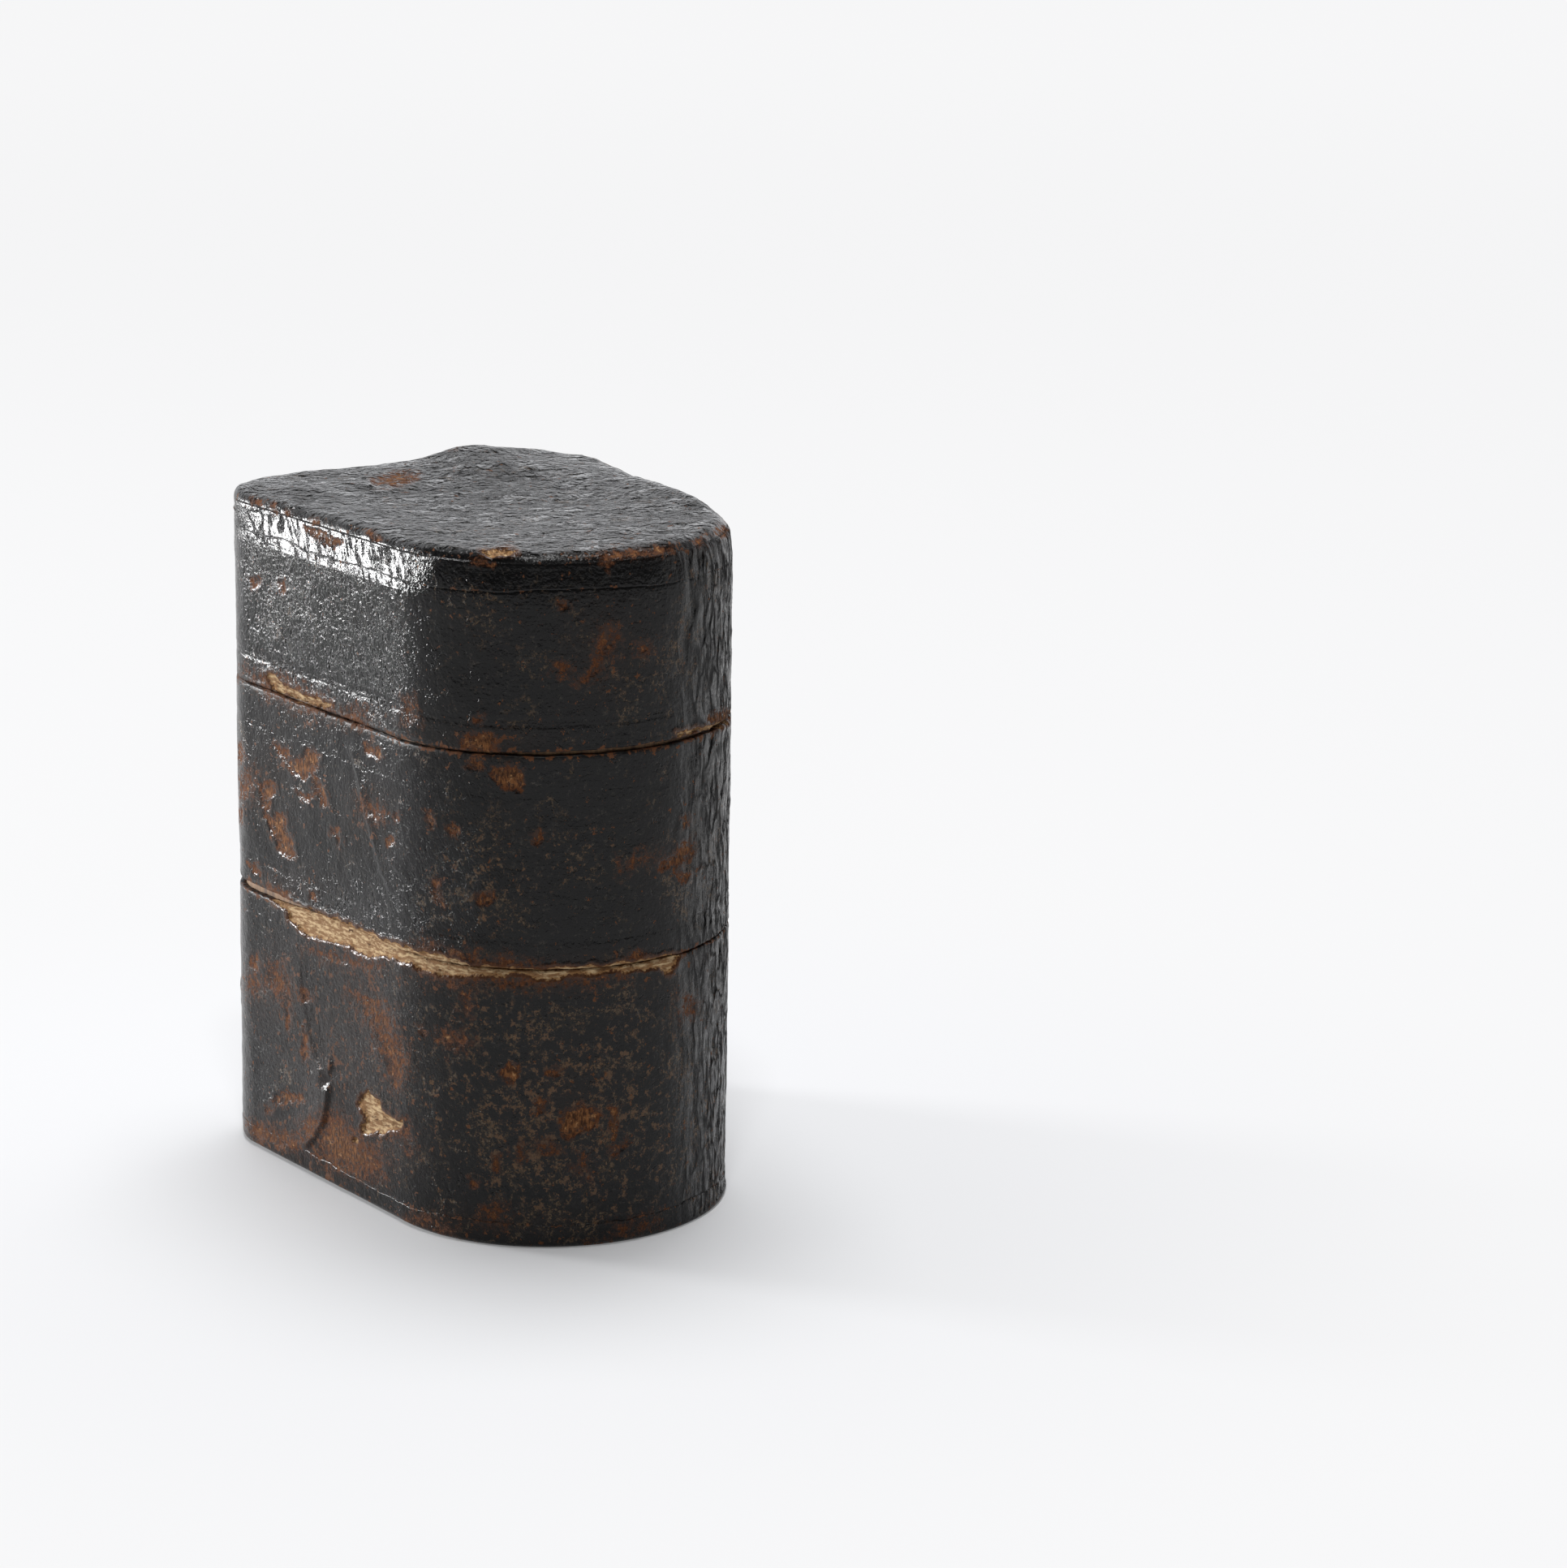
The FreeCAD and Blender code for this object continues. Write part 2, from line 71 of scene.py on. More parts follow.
# How high turned-over leather lies, how far the side is pressed in under it and how far it goes under
LAP_RISE = 0.10
TUCK = 0.17
TOP_OVERLAP = 1.4
TOP_LAP_DROP = 1.5
BOTTOM_OVERLAP = 1.2

# The joint of each section's leather at the flat end
JOINT_DEPTH = 0.35
JOINT_HALF = 0.45

# The lid's shoulder: how far it leans in, where that starts below the top and over what height
SHOULDER_LEAN = 0.6
SHOULDER_DROP = 11.0
SHOULDER_HEIGHT = 8.0
BAND_SLOPE = 0.11
BAND_LEVEL = 122.5

# The stack leans a little: how far over half its height, and which way
LEAN_REACH = 0.75
LEAN_WAY = (0.51, 0.86)
LEAN_LEVEL = 58.0

# Swellings of the top: the middle, the half-widths and the height
HUMPS = [((-46.0, 17.0), (13.0, 11.0), 1.9), ((10.0, 36.0), (14.0, 9.0), 1.2)]

# The dish of the top: its middle and its half-widths
DISH_MIDDLE = (-4.0, 0.0)
DISH_HALF = (44.0, 34.0)

# The photograph and its camera
PHOTO_SIZE = (1931, 1932)
PIXELS_PER_MM = 6.6
FOCAL_PIXELS = 5400
SENSOR = 36.0
CAMERA_PLACE = (727.7, -370.22, 288.16)
CAMERA_AZIMUTH = math.radians(59.31)
CAMERA_DIP = math.radians(14.543)
CAMERA_ROLL = math.radians(0.175)

# How closely the leather is modelled, and the point that the rings of its two ends close in on
QUADS_PER_SKIN = 85000
END_COLUMNS = 700
END_MIDDLE = (-5.0, 0.0)
TURNED_IN = 4.0
UNWRAP_SCALE = 100

# How far from a mark its depth is still worked out, how ragged marks are, and how faint the faint ones
FAR_DEPTH = 6.0
RAGGED_REACH = 0.55
FAINT_SHARE = 0.35
FAINT_DEPTH = 0.12


def top_of(node):
    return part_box(node)[1].z / MM


def bottom_of(node):
    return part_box(node)[0].z / MM


SEAM_LOW = top_of("base_wall")
SEAM_HIGH = top_of("middle_wall")
CASE_TOP = top_of("lid_top_leather")
TOP_LAP = bottom_of("lid_top_leather")
BOTTOM_LAP = top_of("base_bottom_leather")
TOP_LAP_EDGE = TOP_LAP - TOP_LAP_DROP


# The plan, walked from the middle of the flat end past the -Y side, the round end and the +Y side
def plan_stretches():
    """Length and turn of each stretch of the plan's outline."""
    corner_y = CASE_WIDTH / 2 - CORNER_RADIUS
    centres_x = CASE_LENGTH - CORNER_RADIUS - END_RADIUS
    across = math.hypot(centres_x, corner_y)
    reach = math.atan2(-corner_y, centres_x) + math.acos((CORNER_RADIUS - END_RADIUS) / across)
    side = math.sqrt(across ** 2 - (END_RADIUS - CORNER_RADIUS) ** 2)
    corner_turn = math.pi - reach
    return [
        (corner_y, 0),
        (CORNER_RADIUS * corner_turn, corner_turn),
        (side, 0),
        (END_RADIUS * 2 * reach, 2 * reach),
        (side, 0),
        (CORNER_RADIUS * corner_turn, corner_turn),
        (corner_y, 0),
    ]


STRETCHES = plan_stretches()
STARTS = np.cumsum([0] + [length for length, turn in STRETCHES])
HEADINGS = math.pi + np.cumsum([0] + [turn for length, turn in STRETCHES])
PERIMETER = STARTS[-1]
LEFT_WALL = (STARTS[2], STARTS[3])
ROUND_END = (STARTS[3], STARTS[4])


def plan(along):
    """Points and outward directions of the plan's outline, at distances along it."""
    along = np.mod(along, PERIMETER)
    points = np.zeros(along.shape + (2,))
    facing = np.interp(along, STARTS, HEADINGS)
    place = np.array([-CASE_LENGTH / 2, 0.0])
    for (length, turn), start, heading in zip(STRETCHES, STARTS, HEADINGS):
        here = (along >= start) & (along <= start + length)
        if turn:
            radius = length / turn
            out = np.stack([np.cos(facing[here]), np.sin(facing[here])], axis=-1)
            centre = place - radius * np.array([math.cos(heading), math.sin(heading)])
            points[here] = centre + radius * out
            end = heading + turn
            place = centre + radius * np.array([math.cos(end), math.sin(end)])
        else:
            onward = np.array([-math.sin(heading), math.cos(heading)])
            points[here] = place + (along[here] - start)[:, None] * onward
            place = place + length * onward
    outward = np.stack([np.cos(facing), np.sin(facing)], axis=-1)
    return points, outward


def walked(along, level):
    """Points on the case's outside, at distances round it and at a level or levels."""
    level = np.broadcast_to(level, along.shape)
    return np.concatenate([plan(along)[0], level[..., None]], axis=-1)


# Smooth noise, the same on every run
def noise(points, size, seed):
    """Noise from about -1 to 1 at points in millimetres, with lumps of about the given size."""
    gradients = np.random.default_rng(seed).normal(size=(256, 3))
    gradients /= np.linalg.norm(gradients, axis=1)[:, None]
    cells = points / np.asarray(size, dtype=float) + 1000.0
    corner = np.floor(cells).astype(np.int64)
    inside = cells - corner
    ease = inside ** 3 * (inside * (inside * 6 - 15) + 10)
    total = np.zeros(points.shape[:-1])
    for step in np.ndindex(2, 2, 2):
        step = np.array(step)
        key = ((corner + step) * np.array([73856093, 19349663, 83492791])).sum(axis=-1)
        key = (key ^ (key >> 13)) & 255
        weight = np.prod(np.where(step == 1, ease, 1 - ease), axis=-1)
        total += weight * np.sum(gradients[key] * (inside - step), axis=-1)
    return total * 1.6


def layered(points, size, seed, layers=4, gain=0.5):
    """Noise with finer and finer layers."""
    total = np.zeros(points.shape[:-1])
    strength = 1.0
    for layer in range(layers):
        total += strength * noise(points, np.asarray(size, dtype=float) / 2 ** layer, seed + layer)
        strength *= gain
    return total


def ease_between(value, low, high):
    """0 at low, 1 at high and a smooth step between them."""
    share = np.clip((value - low) / (high - low), 0, 1)
    return share * share * (3 - 2 * share)


def bulge(value, middle, half):
    """1 at the middle and fading away to both sides."""
    return np.exp(-((value - middle) / half) ** 2)


def spot(places, middle, half):
    """The same on a plane, round a middle."""
    return np.exp(-np.sum(((places - np.array(middle)) / np.array(half)) ** 2, axis=-1))


# Where a point of the case lies in the photograph
CAMERA_TURN = (
    Matrix.Rotation(CAMERA_AZIMUTH, 3, "Z")
    @ Matrix.Rotation(math.pi / 2 - CAMERA_DIP, 3, "X")
    @ Matrix.Rotation(CAMERA_ROLL, 3, "Z")
)


def photo_pixels(points):
    """The photograph's pixel for each point in millimetres."""
    seen = (points - np.array(CAMERA_PLACE)) @ np.array(CAMERA_TURN)
    across = PHOTO_SIZE[0] / 2 + FOCAL_PIXELS * seen[..., 0] / -seen[..., 2]
    down = PHOTO_SIZE[1] / 2 - FOCAL_PIXELS * seen[..., 1] / -seen[..., 2]
    return np.stack([across, down], axis=-1)


def faces_camera(points, outward):
    """How squarely each point faces the photograph's camera, 1 for head on and below 0 for hidden."""
    towards = np.array(CAMERA_PLACE) - points
    towards /= np.linalg.norm(towards, axis=-1)[..., None]
    return np.sum(towards * outward, axis=-1)


def seen_share(points, outward):
    """1 where the photograph shows the case and 0 where it is hidden, with a soft change between."""
    return ease_between(faces_camera(points, outward), -0.02, 0.12)


def points_of(outline):
    """The corners of an outline or line that is written as across, down, across, down."""
    return np.array(outline, dtype=float).reshape(-1, 2)


def from_segment(pixels, start, end):
    """The segment, each pixel's offset from its start and each pixel's distance from it."""
    edge = end - start
    offset = pixels - start
    share = np.clip((offset @ edge) / (edge @ edge), 0, 1)
    return edge, offset, np.linalg.norm(offset - share[..., None] * edge, axis=-1)


def depth_inside(pixels, outline):
    """How far inside an outline each pixel lies, in millimetres on the case, negative outside."""
    corners = points_of(outline)
    reach = FAR_DEPTH * PIXELS_PER_MM
    low = corners.min(axis=0) - reach
    high = corners.max(axis=0) + reach
    near = np.all((pixels > low) & (pixels < high), axis=-1)
    depths = np.full(pixels.shape[:-1], -FAR_DEPTH)
    depths[near] = np.maximum(signed_depth(pixels[near], corners), -FAR_DEPTH)
    return depths


def signed_depth(pixels, corners):
    """The same for pixels that lie near the outline."""
    depth = np.full(pixels.shape[:-1], np.inf)
    inside = np.zeros(pixels.shape[:-1], dtype=bool)
    for start, end in zip(corners, np.roll(corners, -1, axis=0)):
        edge, offset, gap = from_segment(pixels, start, end)
        depth = np.minimum(depth, gap)
        straddles = (start[1] > pixels[..., 1]) != (end[1] > pixels[..., 1])
        if edge[1]:
            crossing = start[0] + offset[..., 1] * edge[0] / edge[1]
            inside ^= straddles & (pixels[..., 0] < crossing)
    return np.where(inside, depth, -depth) / PIXELS_PER_MM


def near_line(pixels, corners):
    """How far each pixel lies from a broken line, in millimetres, and on which side."""
    best = np.full(pixels.shape[:-1], np.inf)
    side = np.zeros(pixels.shape[:-1])
    for start, end in zip(corners, corners[1:]):
        edge, offset, gap = from_segment(pixels, start, end)
        turn = np.sign(edge[0] * offset[..., 1] - edge[1] * offset[..., 0])
        side = np.where(gap < best, turn, side)
        best = np.minimum(gap, best)
    return best / PIXELS_PER_MM, side


# Wear, outlined in the photograph's pixels, each corner as across and down.
# Brown where the black surface has gone.
LID_BROWN = [
    [309, 614, 318, 616, 317, 622, 309, 620], [331, 618, 337, 620, 338, 629, 332, 631, 330, 625],
    [352, 625, 359, 627, 355, 635, 349, 636, 348, 629],
    [369, 647, 380, 650, 396, 656, 409, 663, 416, 669, 407, 675, 396, 671, 382, 663],
    [380, 640, 390, 640, 392, 646, 384, 647], [454, 656, 464, 656, 471, 661, 462, 665, 455, 663],
    [307, 713, 316, 713, 320, 719, 314, 724, 307, 722], [340, 717, 346, 715, 350, 728, 345, 732],
    [457, 592, 472, 585, 493, 581, 515, 583, 518, 587, 506, 592, 480, 597, 463, 597],
    [532, 558, 548, 554, 565, 555, 560, 559, 539, 559], [579, 687, 598, 689, 608, 696, 603, 699, 586, 697],
    [741, 679, 767, 678, 809, 675, 831, 673, 831, 679, 775, 684, 755, 688, 752, 705, 745, 690],
    [857, 665, 868, 660, 870, 671, 861, 676], [885, 646, 897, 648, 897, 660, 889, 663, 881, 656],
    [687, 740, 699, 744, 703, 752, 695, 753],
    [567, 911, 581, 903, 603, 900, 613, 911, 615, 924, 598, 928, 581, 926, 570, 921],
    [585, 881, 594, 880, 596, 888, 588, 891], [870, 881, 889, 875, 900, 872, 901, 886, 885, 893, 871, 889],
]
MIDDLE_BROWN = [
    [334, 918, 346, 917, 354, 927, 356, 936, 369, 935, 375, 921, 384, 923, 395, 929, 392, 944, 386, 950,
     396, 965, 405, 995, 400, 997, 390, 978, 380, 955, 373, 962, 360, 955, 352, 940],
    [293, 915, 299, 919, 300, 936, 295, 942, 292, 932], [294, 993, 299, 997, 299, 1012, 294, 1016],
    [321, 965, 333, 963, 338, 976, 333, 988, 331, 1000, 324, 996, 320, 978],
    [333, 1005, 346, 1001, 354, 1020, 363, 1052, 361, 1058, 348, 1054, 335, 1029, 324, 1001],
    [366, 976, 377, 980, 386, 982, 380, 990, 372, 986],
    [407, 1020, 415, 1022, 420, 1037, 417, 1044, 409, 1028],
    [449, 915, 468, 923, 472, 932, 464, 936, 451, 928],
    [605, 942, 619, 944, 643, 942, 646, 959, 641, 976, 628, 974, 613, 965, 607, 955],
    [573, 938, 592, 937, 595, 944, 581, 948, 574, 944],
    [550, 1018, 558, 1015, 566, 1022, 563, 1031, 554, 1028],
    [522, 996, 529, 997, 536, 1016, 532, 1022, 525, 1007],
    [657, 1028, 668, 1026, 672, 1033, 666, 1041, 657, 1039],
    [838, 1036, 853, 1039, 855, 1052, 845, 1062, 830, 1071, 811, 1071, 810, 1062, 838, 1049],
    [834, 1072, 853, 1077, 851, 1083, 840, 1090, 832, 1079], [840, 1007, 847, 1005, 846, 1018, 841, 1020],
    [586, 1102, 607, 1100, 609, 1108, 603, 1115, 594, 1117, 587, 1110],
    [533, 1085, 541, 1083, 539, 1096, 544, 1113, 546, 1121, 539, 1113, 534, 1098],
    [771, 1181, 781, 1171, 789, 1169, 794, 1178, 784, 1185], [306, 1062, 316, 1066, 321, 1079, 312, 1076],
    [329, 1089, 346, 1096, 360, 1102, 354, 1108, 337, 1102], [380, 1102, 390, 1100, 389, 1109, 383, 1109],
    [476, 1033, 484, 1033, 486, 1040, 478, 1042], [483, 999, 490, 1001, 489, 1012, 484, 1009],
]
BASE_BROWN = [
    [310, 1177, 318, 1175, 321, 1188, 314, 1197, 310, 1190], [354, 1240, 359, 1247, 360, 1266, 356, 1270],
    [373, 1219, 380, 1222, 386, 1234, 375, 1237],
    [375, 1262, 380, 1276, 384, 1304, 373, 1306, 371, 1295, 376, 1281],
    [339, 1352, 354, 1345, 374, 1348, 378, 1356, 354, 1361, 341, 1359],
    [327, 1363, 335, 1363, 337, 1371, 329, 1372], [518, 1264, 525, 1270, 523, 1276, 518, 1272],
    [615, 1320, 628, 1310, 641, 1316, 637, 1329, 626, 1334, 619, 1327],
    [674, 1320, 685, 1315, 696, 1318, 687, 1325, 676, 1326], [661, 1356, 672, 1354, 672, 1369, 661, 1371],
    [691, 1373, 712, 1360, 729, 1362, 740, 1373, 733, 1386, 716, 1395, 699, 1403, 690, 1395],
    [750, 1360, 760, 1365, 761, 1390, 754, 1407, 749, 1386],
    [752, 1416, 771, 1403, 776, 1407, 760, 1424, 754, 1426], [579, 1451, 588, 1457, 586, 1466, 579, 1462],
    [609, 1426, 615, 1424, 615, 1445, 608, 1441],
]
BROWN = LID_BROWN + MIDDLE_BROWN + BASE_BROWN

# Brown that only half shows
FAINT = [
    [744, 772, 758, 772, 761, 783, 754, 799, 733, 833, 720, 841, 712, 839, 725, 825, 737, 791],
    [786, 791, 798, 792, 803, 799, 794, 806, 787, 802],
    [297, 821, 312, 834, 325, 826, 342, 829, 375, 847, 411, 866, 414, 879, 371, 874, 325, 853],
    [420, 875, 432, 870, 443, 875, 449, 886, 452, 895, 436, 893, 423, 886],
    [685, 820, 699, 820, 704, 827, 691, 830], [496, 860, 504, 860, 508, 875, 510, 892, 502, 895, 497, 879],
    [295, 955, 308, 946, 314, 961, 310, 982, 302, 990, 294, 980],
    [762, 1070, 779, 1058, 805, 1053, 807, 1056, 781, 1062, 767, 1074],
    [516, 1161, 523, 1155, 531, 1163, 565, 1174, 586, 1171, 594, 1180, 649, 1184, 674, 1193, 674, 1197, 619,
     1193, 565, 1183, 523, 1170], [443, 982, 451, 990, 466, 993, 472, 1005, 462, 1012, 451, 1004, 443, 995],
    [306, 1205, 323, 1201, 327, 1219, 316, 1226, 307, 1217],
    [333, 1186, 344, 1188, 352, 1203, 357, 1213, 361, 1230, 354, 1239, 346, 1228, 329, 1211],
    [432, 1219, 447, 1224, 468, 1230, 480, 1245, 489, 1272, 500, 1289, 502, 1318, 495, 1340, 485, 1344, 480,
     1318, 472, 1293, 455, 1259, 442, 1238],
    [305, 1386, 325, 1386, 346, 1392, 375, 1395, 384, 1403, 371, 1416, 346, 1413, 321, 1405],
    [407, 1367, 415, 1369, 434, 1386, 447, 1398, 468, 1419, 479, 1440, 476, 1453, 455, 1449, 430, 1445, 405,
     1437, 390, 1419, 393, 1403, 399, 1386],
    [544, 1272, 560, 1270, 580, 1276, 580, 1289, 565, 1294, 548, 1287, 539, 1280],
    [569, 1219, 580, 1222, 578, 1251, 571, 1247],
    [593, 1491, 607, 1485, 620, 1487, 623, 1500, 611, 1509, 598, 1508, 592, 1499],
    [758, 1509, 779, 1504, 801, 1505, 809, 1499, 811, 1508, 792, 1515, 762, 1519],
    [506, 1499, 523, 1499, 544, 1507, 561, 1516, 559, 1523, 539, 1517, 518, 1509],
    [636, 1413, 645, 1411, 647, 1426, 638, 1426], [661, 1413, 687, 1411, 687, 1417, 666, 1422],
    [531, 1201, 565, 1206, 603, 1202, 649, 1205, 674, 1209, 733, 1204, 775, 1200, 725, 1209, 674, 1214, 611,
     1215, 590, 1209, 560, 1213],
    [375, 1167, 409, 1175, 438, 1182, 468, 1187, 464, 1196, 438, 1190, 405, 1184],
    [840, 1230, 851, 1227, 858, 1240, 853, 1251, 844, 1254, 840, 1240],
    [480, 1373, 499, 1379, 509, 1403, 506, 1419, 495, 1403, 483, 1396],
    [373, 1378, 396, 1374, 404, 1363, 400, 1386, 392, 1403, 380, 1411, 375, 1395],
    [725, 1531, 750, 1530, 746, 1536, 726, 1537], [714, 1428, 725, 1430, 721, 1449, 714, 1445],
]

# Cream where the leather has torn off its pale core
CREAM = [
    [550, 553, 565, 550, 594, 550, 597, 553, 573, 556, 554, 556],
    [591, 677, 607, 676, 632, 676, 640, 679, 628, 682, 607, 682, 594, 681],
    [325, 830, 337, 833, 350, 844, 371, 854, 392, 863, 407, 867, 406, 873, 371, 865, 337, 852],
    [832, 903, 859, 898, 889, 888, 895, 887, 893, 893, 868, 901, 834, 907],
    [449, 1346, 457, 1344, 466, 1356, 472, 1369, 480, 1376, 496, 1381, 494, 1391, 480, 1392, 472, 1397, 466,
     1394, 451, 1395, 448, 1386, 456, 1379, 448, 1369, 444, 1360],
    [438, 1403, 442, 1403, 442, 1409, 438, 1409],
    [335, 1106, 379, 1119, 438, 1142, 480, 1159, 531, 1175, 581, 1189, 619, 1193, 691, 1194, 775, 1186, 838,
     1175, 833, 1186, 828, 1197, 821, 1201, 813, 1193, 775, 1195, 733, 1199, 695, 1203, 674, 1208, 657,
     1206, 645, 1201, 607, 1203, 581, 1202, 565, 1205, 548, 1202, 523, 1197, 506, 1189, 489, 1182, 476,
     1178, 455, 1179, 438, 1174, 426, 1163, 396, 1157, 375, 1151, 360, 1136, 350, 1121, 339, 1113],
]

# Creases in the leather: the line, the height of its lip and its width on the gentle side
STEEP_WIDTH = 0.35
CREASE_FADE = 2.5
CREASES = [
    ([402, 1335, 396, 1318, 380, 1272, 371, 1217, 369, 1175], 0.16, 1.6),
    ([372, 1422, 389, 1402, 401, 1380, 406, 1355, 408, 1330], 0.65, 3.2),
    ([430, 915, 443, 965, 451, 1003, 457, 1028, 468, 1070, 485, 1108], 0.16, 0.8),
    ([472, 1054, 497, 1079, 514, 1112], 0.14, 0.7),
    ([489, 1087, 506, 1112], 0.12, 0.6),
]

# Regions of wear with soft edges: the middle and the half-widths in pixels, and the strength
WEBBED = [
    (700, 1380, 190, 140, 1.0), (610, 1290, 90, 90, 0.8), (740, 1250, 150, 50, 0.5),
    (600, 1080, 80, 90, 0.7), (700, 1055, 120, 60, 0.5), (835, 1070, 40, 60, 0.6), (650, 790, 120, 60, 0.3),
    (790, 830, 90, 80, 0.45), (590, 740, 60, 30, 0.5), (860, 720, 40, 30, 0.5),
]
STAINED = [
    (425, 1290, 85, 110, 0.9), (345, 1225, 45, 65, 0.9), (425, 1415, 95, 45, 1.0), (335, 1395, 55, 25, 1.0),
    (560, 1505, 130, 20, 0.7), (470, 1200, 130, 26, 0.9), (640, 1212, 160, 12, 0.9),
    (420, 885, 70, 16, 0.9), (600, 915, 60, 18, 0.9), (330, 960, 40, 60, 0.6), (450, 1000, 30, 40, 0.7),
    (350, 1090, 50, 18, 0.9), (780, 1180, 110, 10, 0.7), (835, 1060, 40, 30, 0.7), (745, 800, 40, 50, 0.7),
    (790, 680, 90, 10, 0.8), (700, 1360, 60, 50, 0.5),
]
CRACKED = [
    (410, 1235, 85, 62, 1.0), (345, 1290, 50, 80, 0.6), (480, 1350, 60, 90, 0.5), (560, 1090, 55, 100, 0.8),
    (520, 1010, 40, 60, 0.5), (560, 960, 60, 30, 0.3),
]
SHINY = [
    (350, 640, 60, 22, 1.0), (430, 675, 75, 20, 1.0), (325, 680, 30, 40, 0.9), (365, 690, 70, 30, 0.6),
    (450, 715, 60, 18, 0.8), (450, 775, 55, 25, 0.9), (355, 805, 35, 45, 1.0), (415, 825, 35, 40, 1.0),
    (455, 835, 60, 35, 1.0), (360, 745, 40, 30, 0.5), (480, 870, 30, 25, 0.6), (395, 878, 35, 7, 1.0),
    (440, 890, 40, 7, 0.9), (430, 1108, 70, 22, 1.0), (380, 1095, 40, 18, 0.7), (500, 1135, 30, 20, 0.7),
    (560, 1460, 60, 30, 0.25),
]
GLAZED = [
    (440, 668, 90, 15, 0.9), (350, 638, 40, 12, 0.6), (612, 690, 32, 9, 1.0), (790, 688, 55, 7, 0.9),
    (620, 735, 45, 8, 0.7), (885, 850, 25, 500, 0.8), (430, 1010, 60, 80, 0.4), (620, 610, 190, 45, 0.4),
]

# Each kind of region, with the seed of what is invented where the photograph shows nothing
REGIONS = [("web", WEBBED, 81), ("stain", STAINED, 83), ("cracked", CRACKED, 87), ("shine", SHINY, 93),
           ("glaze", GLAZED, 99)]

# Double lines pressed into the leather: the height on the case and the depth
TOOLED_LINES = [(SEAM_HIGH + 6.0, 0.10), (SEAM_HIGH - 7.3, 0.05), (SEAM_LOW + 5.8, 0.10)]
TOOLED_HALF_GAP = 0.45
TOOLED_HALF_WIDTH = 0.3


def wear_regions(points, outward):
    """How webbed, stained, cracked, shiny and glazed the leather is at each point, from 0 to 1."""
    pixels = photo_pixels(points)
    seen = seen_share(points, outward)
    regions = {}
    for name, spots, seed in REGIONS:
        drawn = np.zeros(points.shape[:-1])
        for across, down, half_across, half_down, strength in spots:
            soft = spot(pixels, (across, down), (half_across, half_down))
            drawn = np.maximum(drawn, strength * soft)
        invented = np.clip(layered(points, 24.0, seed, layers=2) * 1.3, 0, 1)
        regions[name] = drawn * seen + invented * (1 - seen)
    return regions


def wear_fields(points, outward):
    """How deep each point lies inside the brown and the cream wear, in millimetres."""
    pixels = photo_pixels(points)
    sway = np.stack([layered(points, 2.6, seed, layers=3) for seed in (91, 97)], axis=-1)
    pixels = pixels + RAGGED_REACH * PIXELS_PER_MM * sway
    seen = seen_share(points, outward)
    half_worn = deepest(pixels, FAINT) * FAINT_SHARE - FAINT_DEPTH
    brown = np.maximum(deepest(pixels, BROWN), half_worn)
    cream = deepest(pixels, CREAM)
    fields = []
    for drawn, seed, size, level in ((brown, 31, 10.0, 0.62), (cream, 57, 15.0, 1.25)):
        invented = (layered(points, size, seed, layers=3) - level) * 4
        fields.append(drawn * seen + np.minimum(invented, 3) * (1 - seen))
    return fields


def deepest(pixels, outlines):
    """The depth inside whichever outline is nearest."""
    depth = np.full(pixels.shape[:-1], -FAR_DEPTH)
    for outline in outlines:
        depth = np.maximum(depth, depth_inside(pixels, outline))
    return depth


def crease_height(points, outward):
    """Raised lips along the creases, steeper on one side."""
    pixels = photo_pixels(points)
    seen = faces_camera(points, outward) > 0
    height = np.zeros(points.shape[:-1])
    for line, lip, width in CREASES:
        corners = points_of(line)
        gap, side = near_line(pixels, corners)
        ends = np.linalg.norm(pixels[..., None, :] - corners[[0, -1]], axis=-1).min(axis=-1)
        fade = ease_between(ends / PIXELS_PER_MM, 0.0, CREASE_FADE)
        slope = np.where(side > 0, STEEP_WIDTH, width)
        height += lip * bulge(gap, 0, slope) * seen * fade
    return height


def leather_relief(points, outward, along, level, brown, cream):
    """Height of the leather's surface over its plain form, in millimetres."""
    dents = DENT_HEIGHT * layered(points, 26.0, 3, layers=2)
    lumps = LUMP_HEIGHT * layered(points, 5.0, 11, layers=3)
    walk = walked(along, level)
    wrinkles = layered(walk, (1.6, 1.6, 7.0), 23, layers=3)
    side = np.linalg.norm(outward[..., :2], axis=-1)
    upright = side * (FAINT_WRINKLE_HEIGHT + WRINKLE_HEIGHT * turning_away(along)) * -np.abs(wrinkles)
    # The lid's shoulder leans in on the seen side and fades away behind the round end
    lean = SHOULDER_LEAN * ease_between(along, LEFT_WALL[0] - 8, LEFT_WALL[0] + 14)
    lean = lean * (1 - ease_between(along, ROUND_END[1] + 20, ROUND_END[1] + 60))
    shoulder = -lean * side * np.clip((level - CASE_TOP + SHOULDER_DROP) / SHOULDER_HEIGHT, 0, 1) ** 2
    tilt = (level - LEAN_LEVEL) / LEAN_LEVEL * np.sum(outward[..., :2] * np.array(LEAN_WAY), axis=-1) ** 3
    worn = BROWN_DEPTH * ease_between(brown, -0.2, 0.3)
    fibres = layered(walk, (5.0, 5.0, 0.9), 29, layers=3)
    torn = ease_between(cream, -0.15, 0.2) * (FIBRE_HEIGHT * fibres - CREAM_DEPTH)
    lip = bulge(brown, -0.4, 0.45) * 0.06 + bulge(cream, -0.4, 0.4) * 0.16
    return dents + lumps + upright + shoulder + LEAN_REACH * tilt - worn + torn + lip


def band_height(along, level):
    """A further lean of the lid's shoulder on the left wall, as a height in millimetres for the bump."""
    wall = ease_between(along, LEFT_WALL[0] - 12, LEFT_WALL[0] + 26) * (1 - ease_between(along, 110, 117))
    return -BAND_SLOPE * wall * np.clip(level - BAND_LEVEL, 0, None)


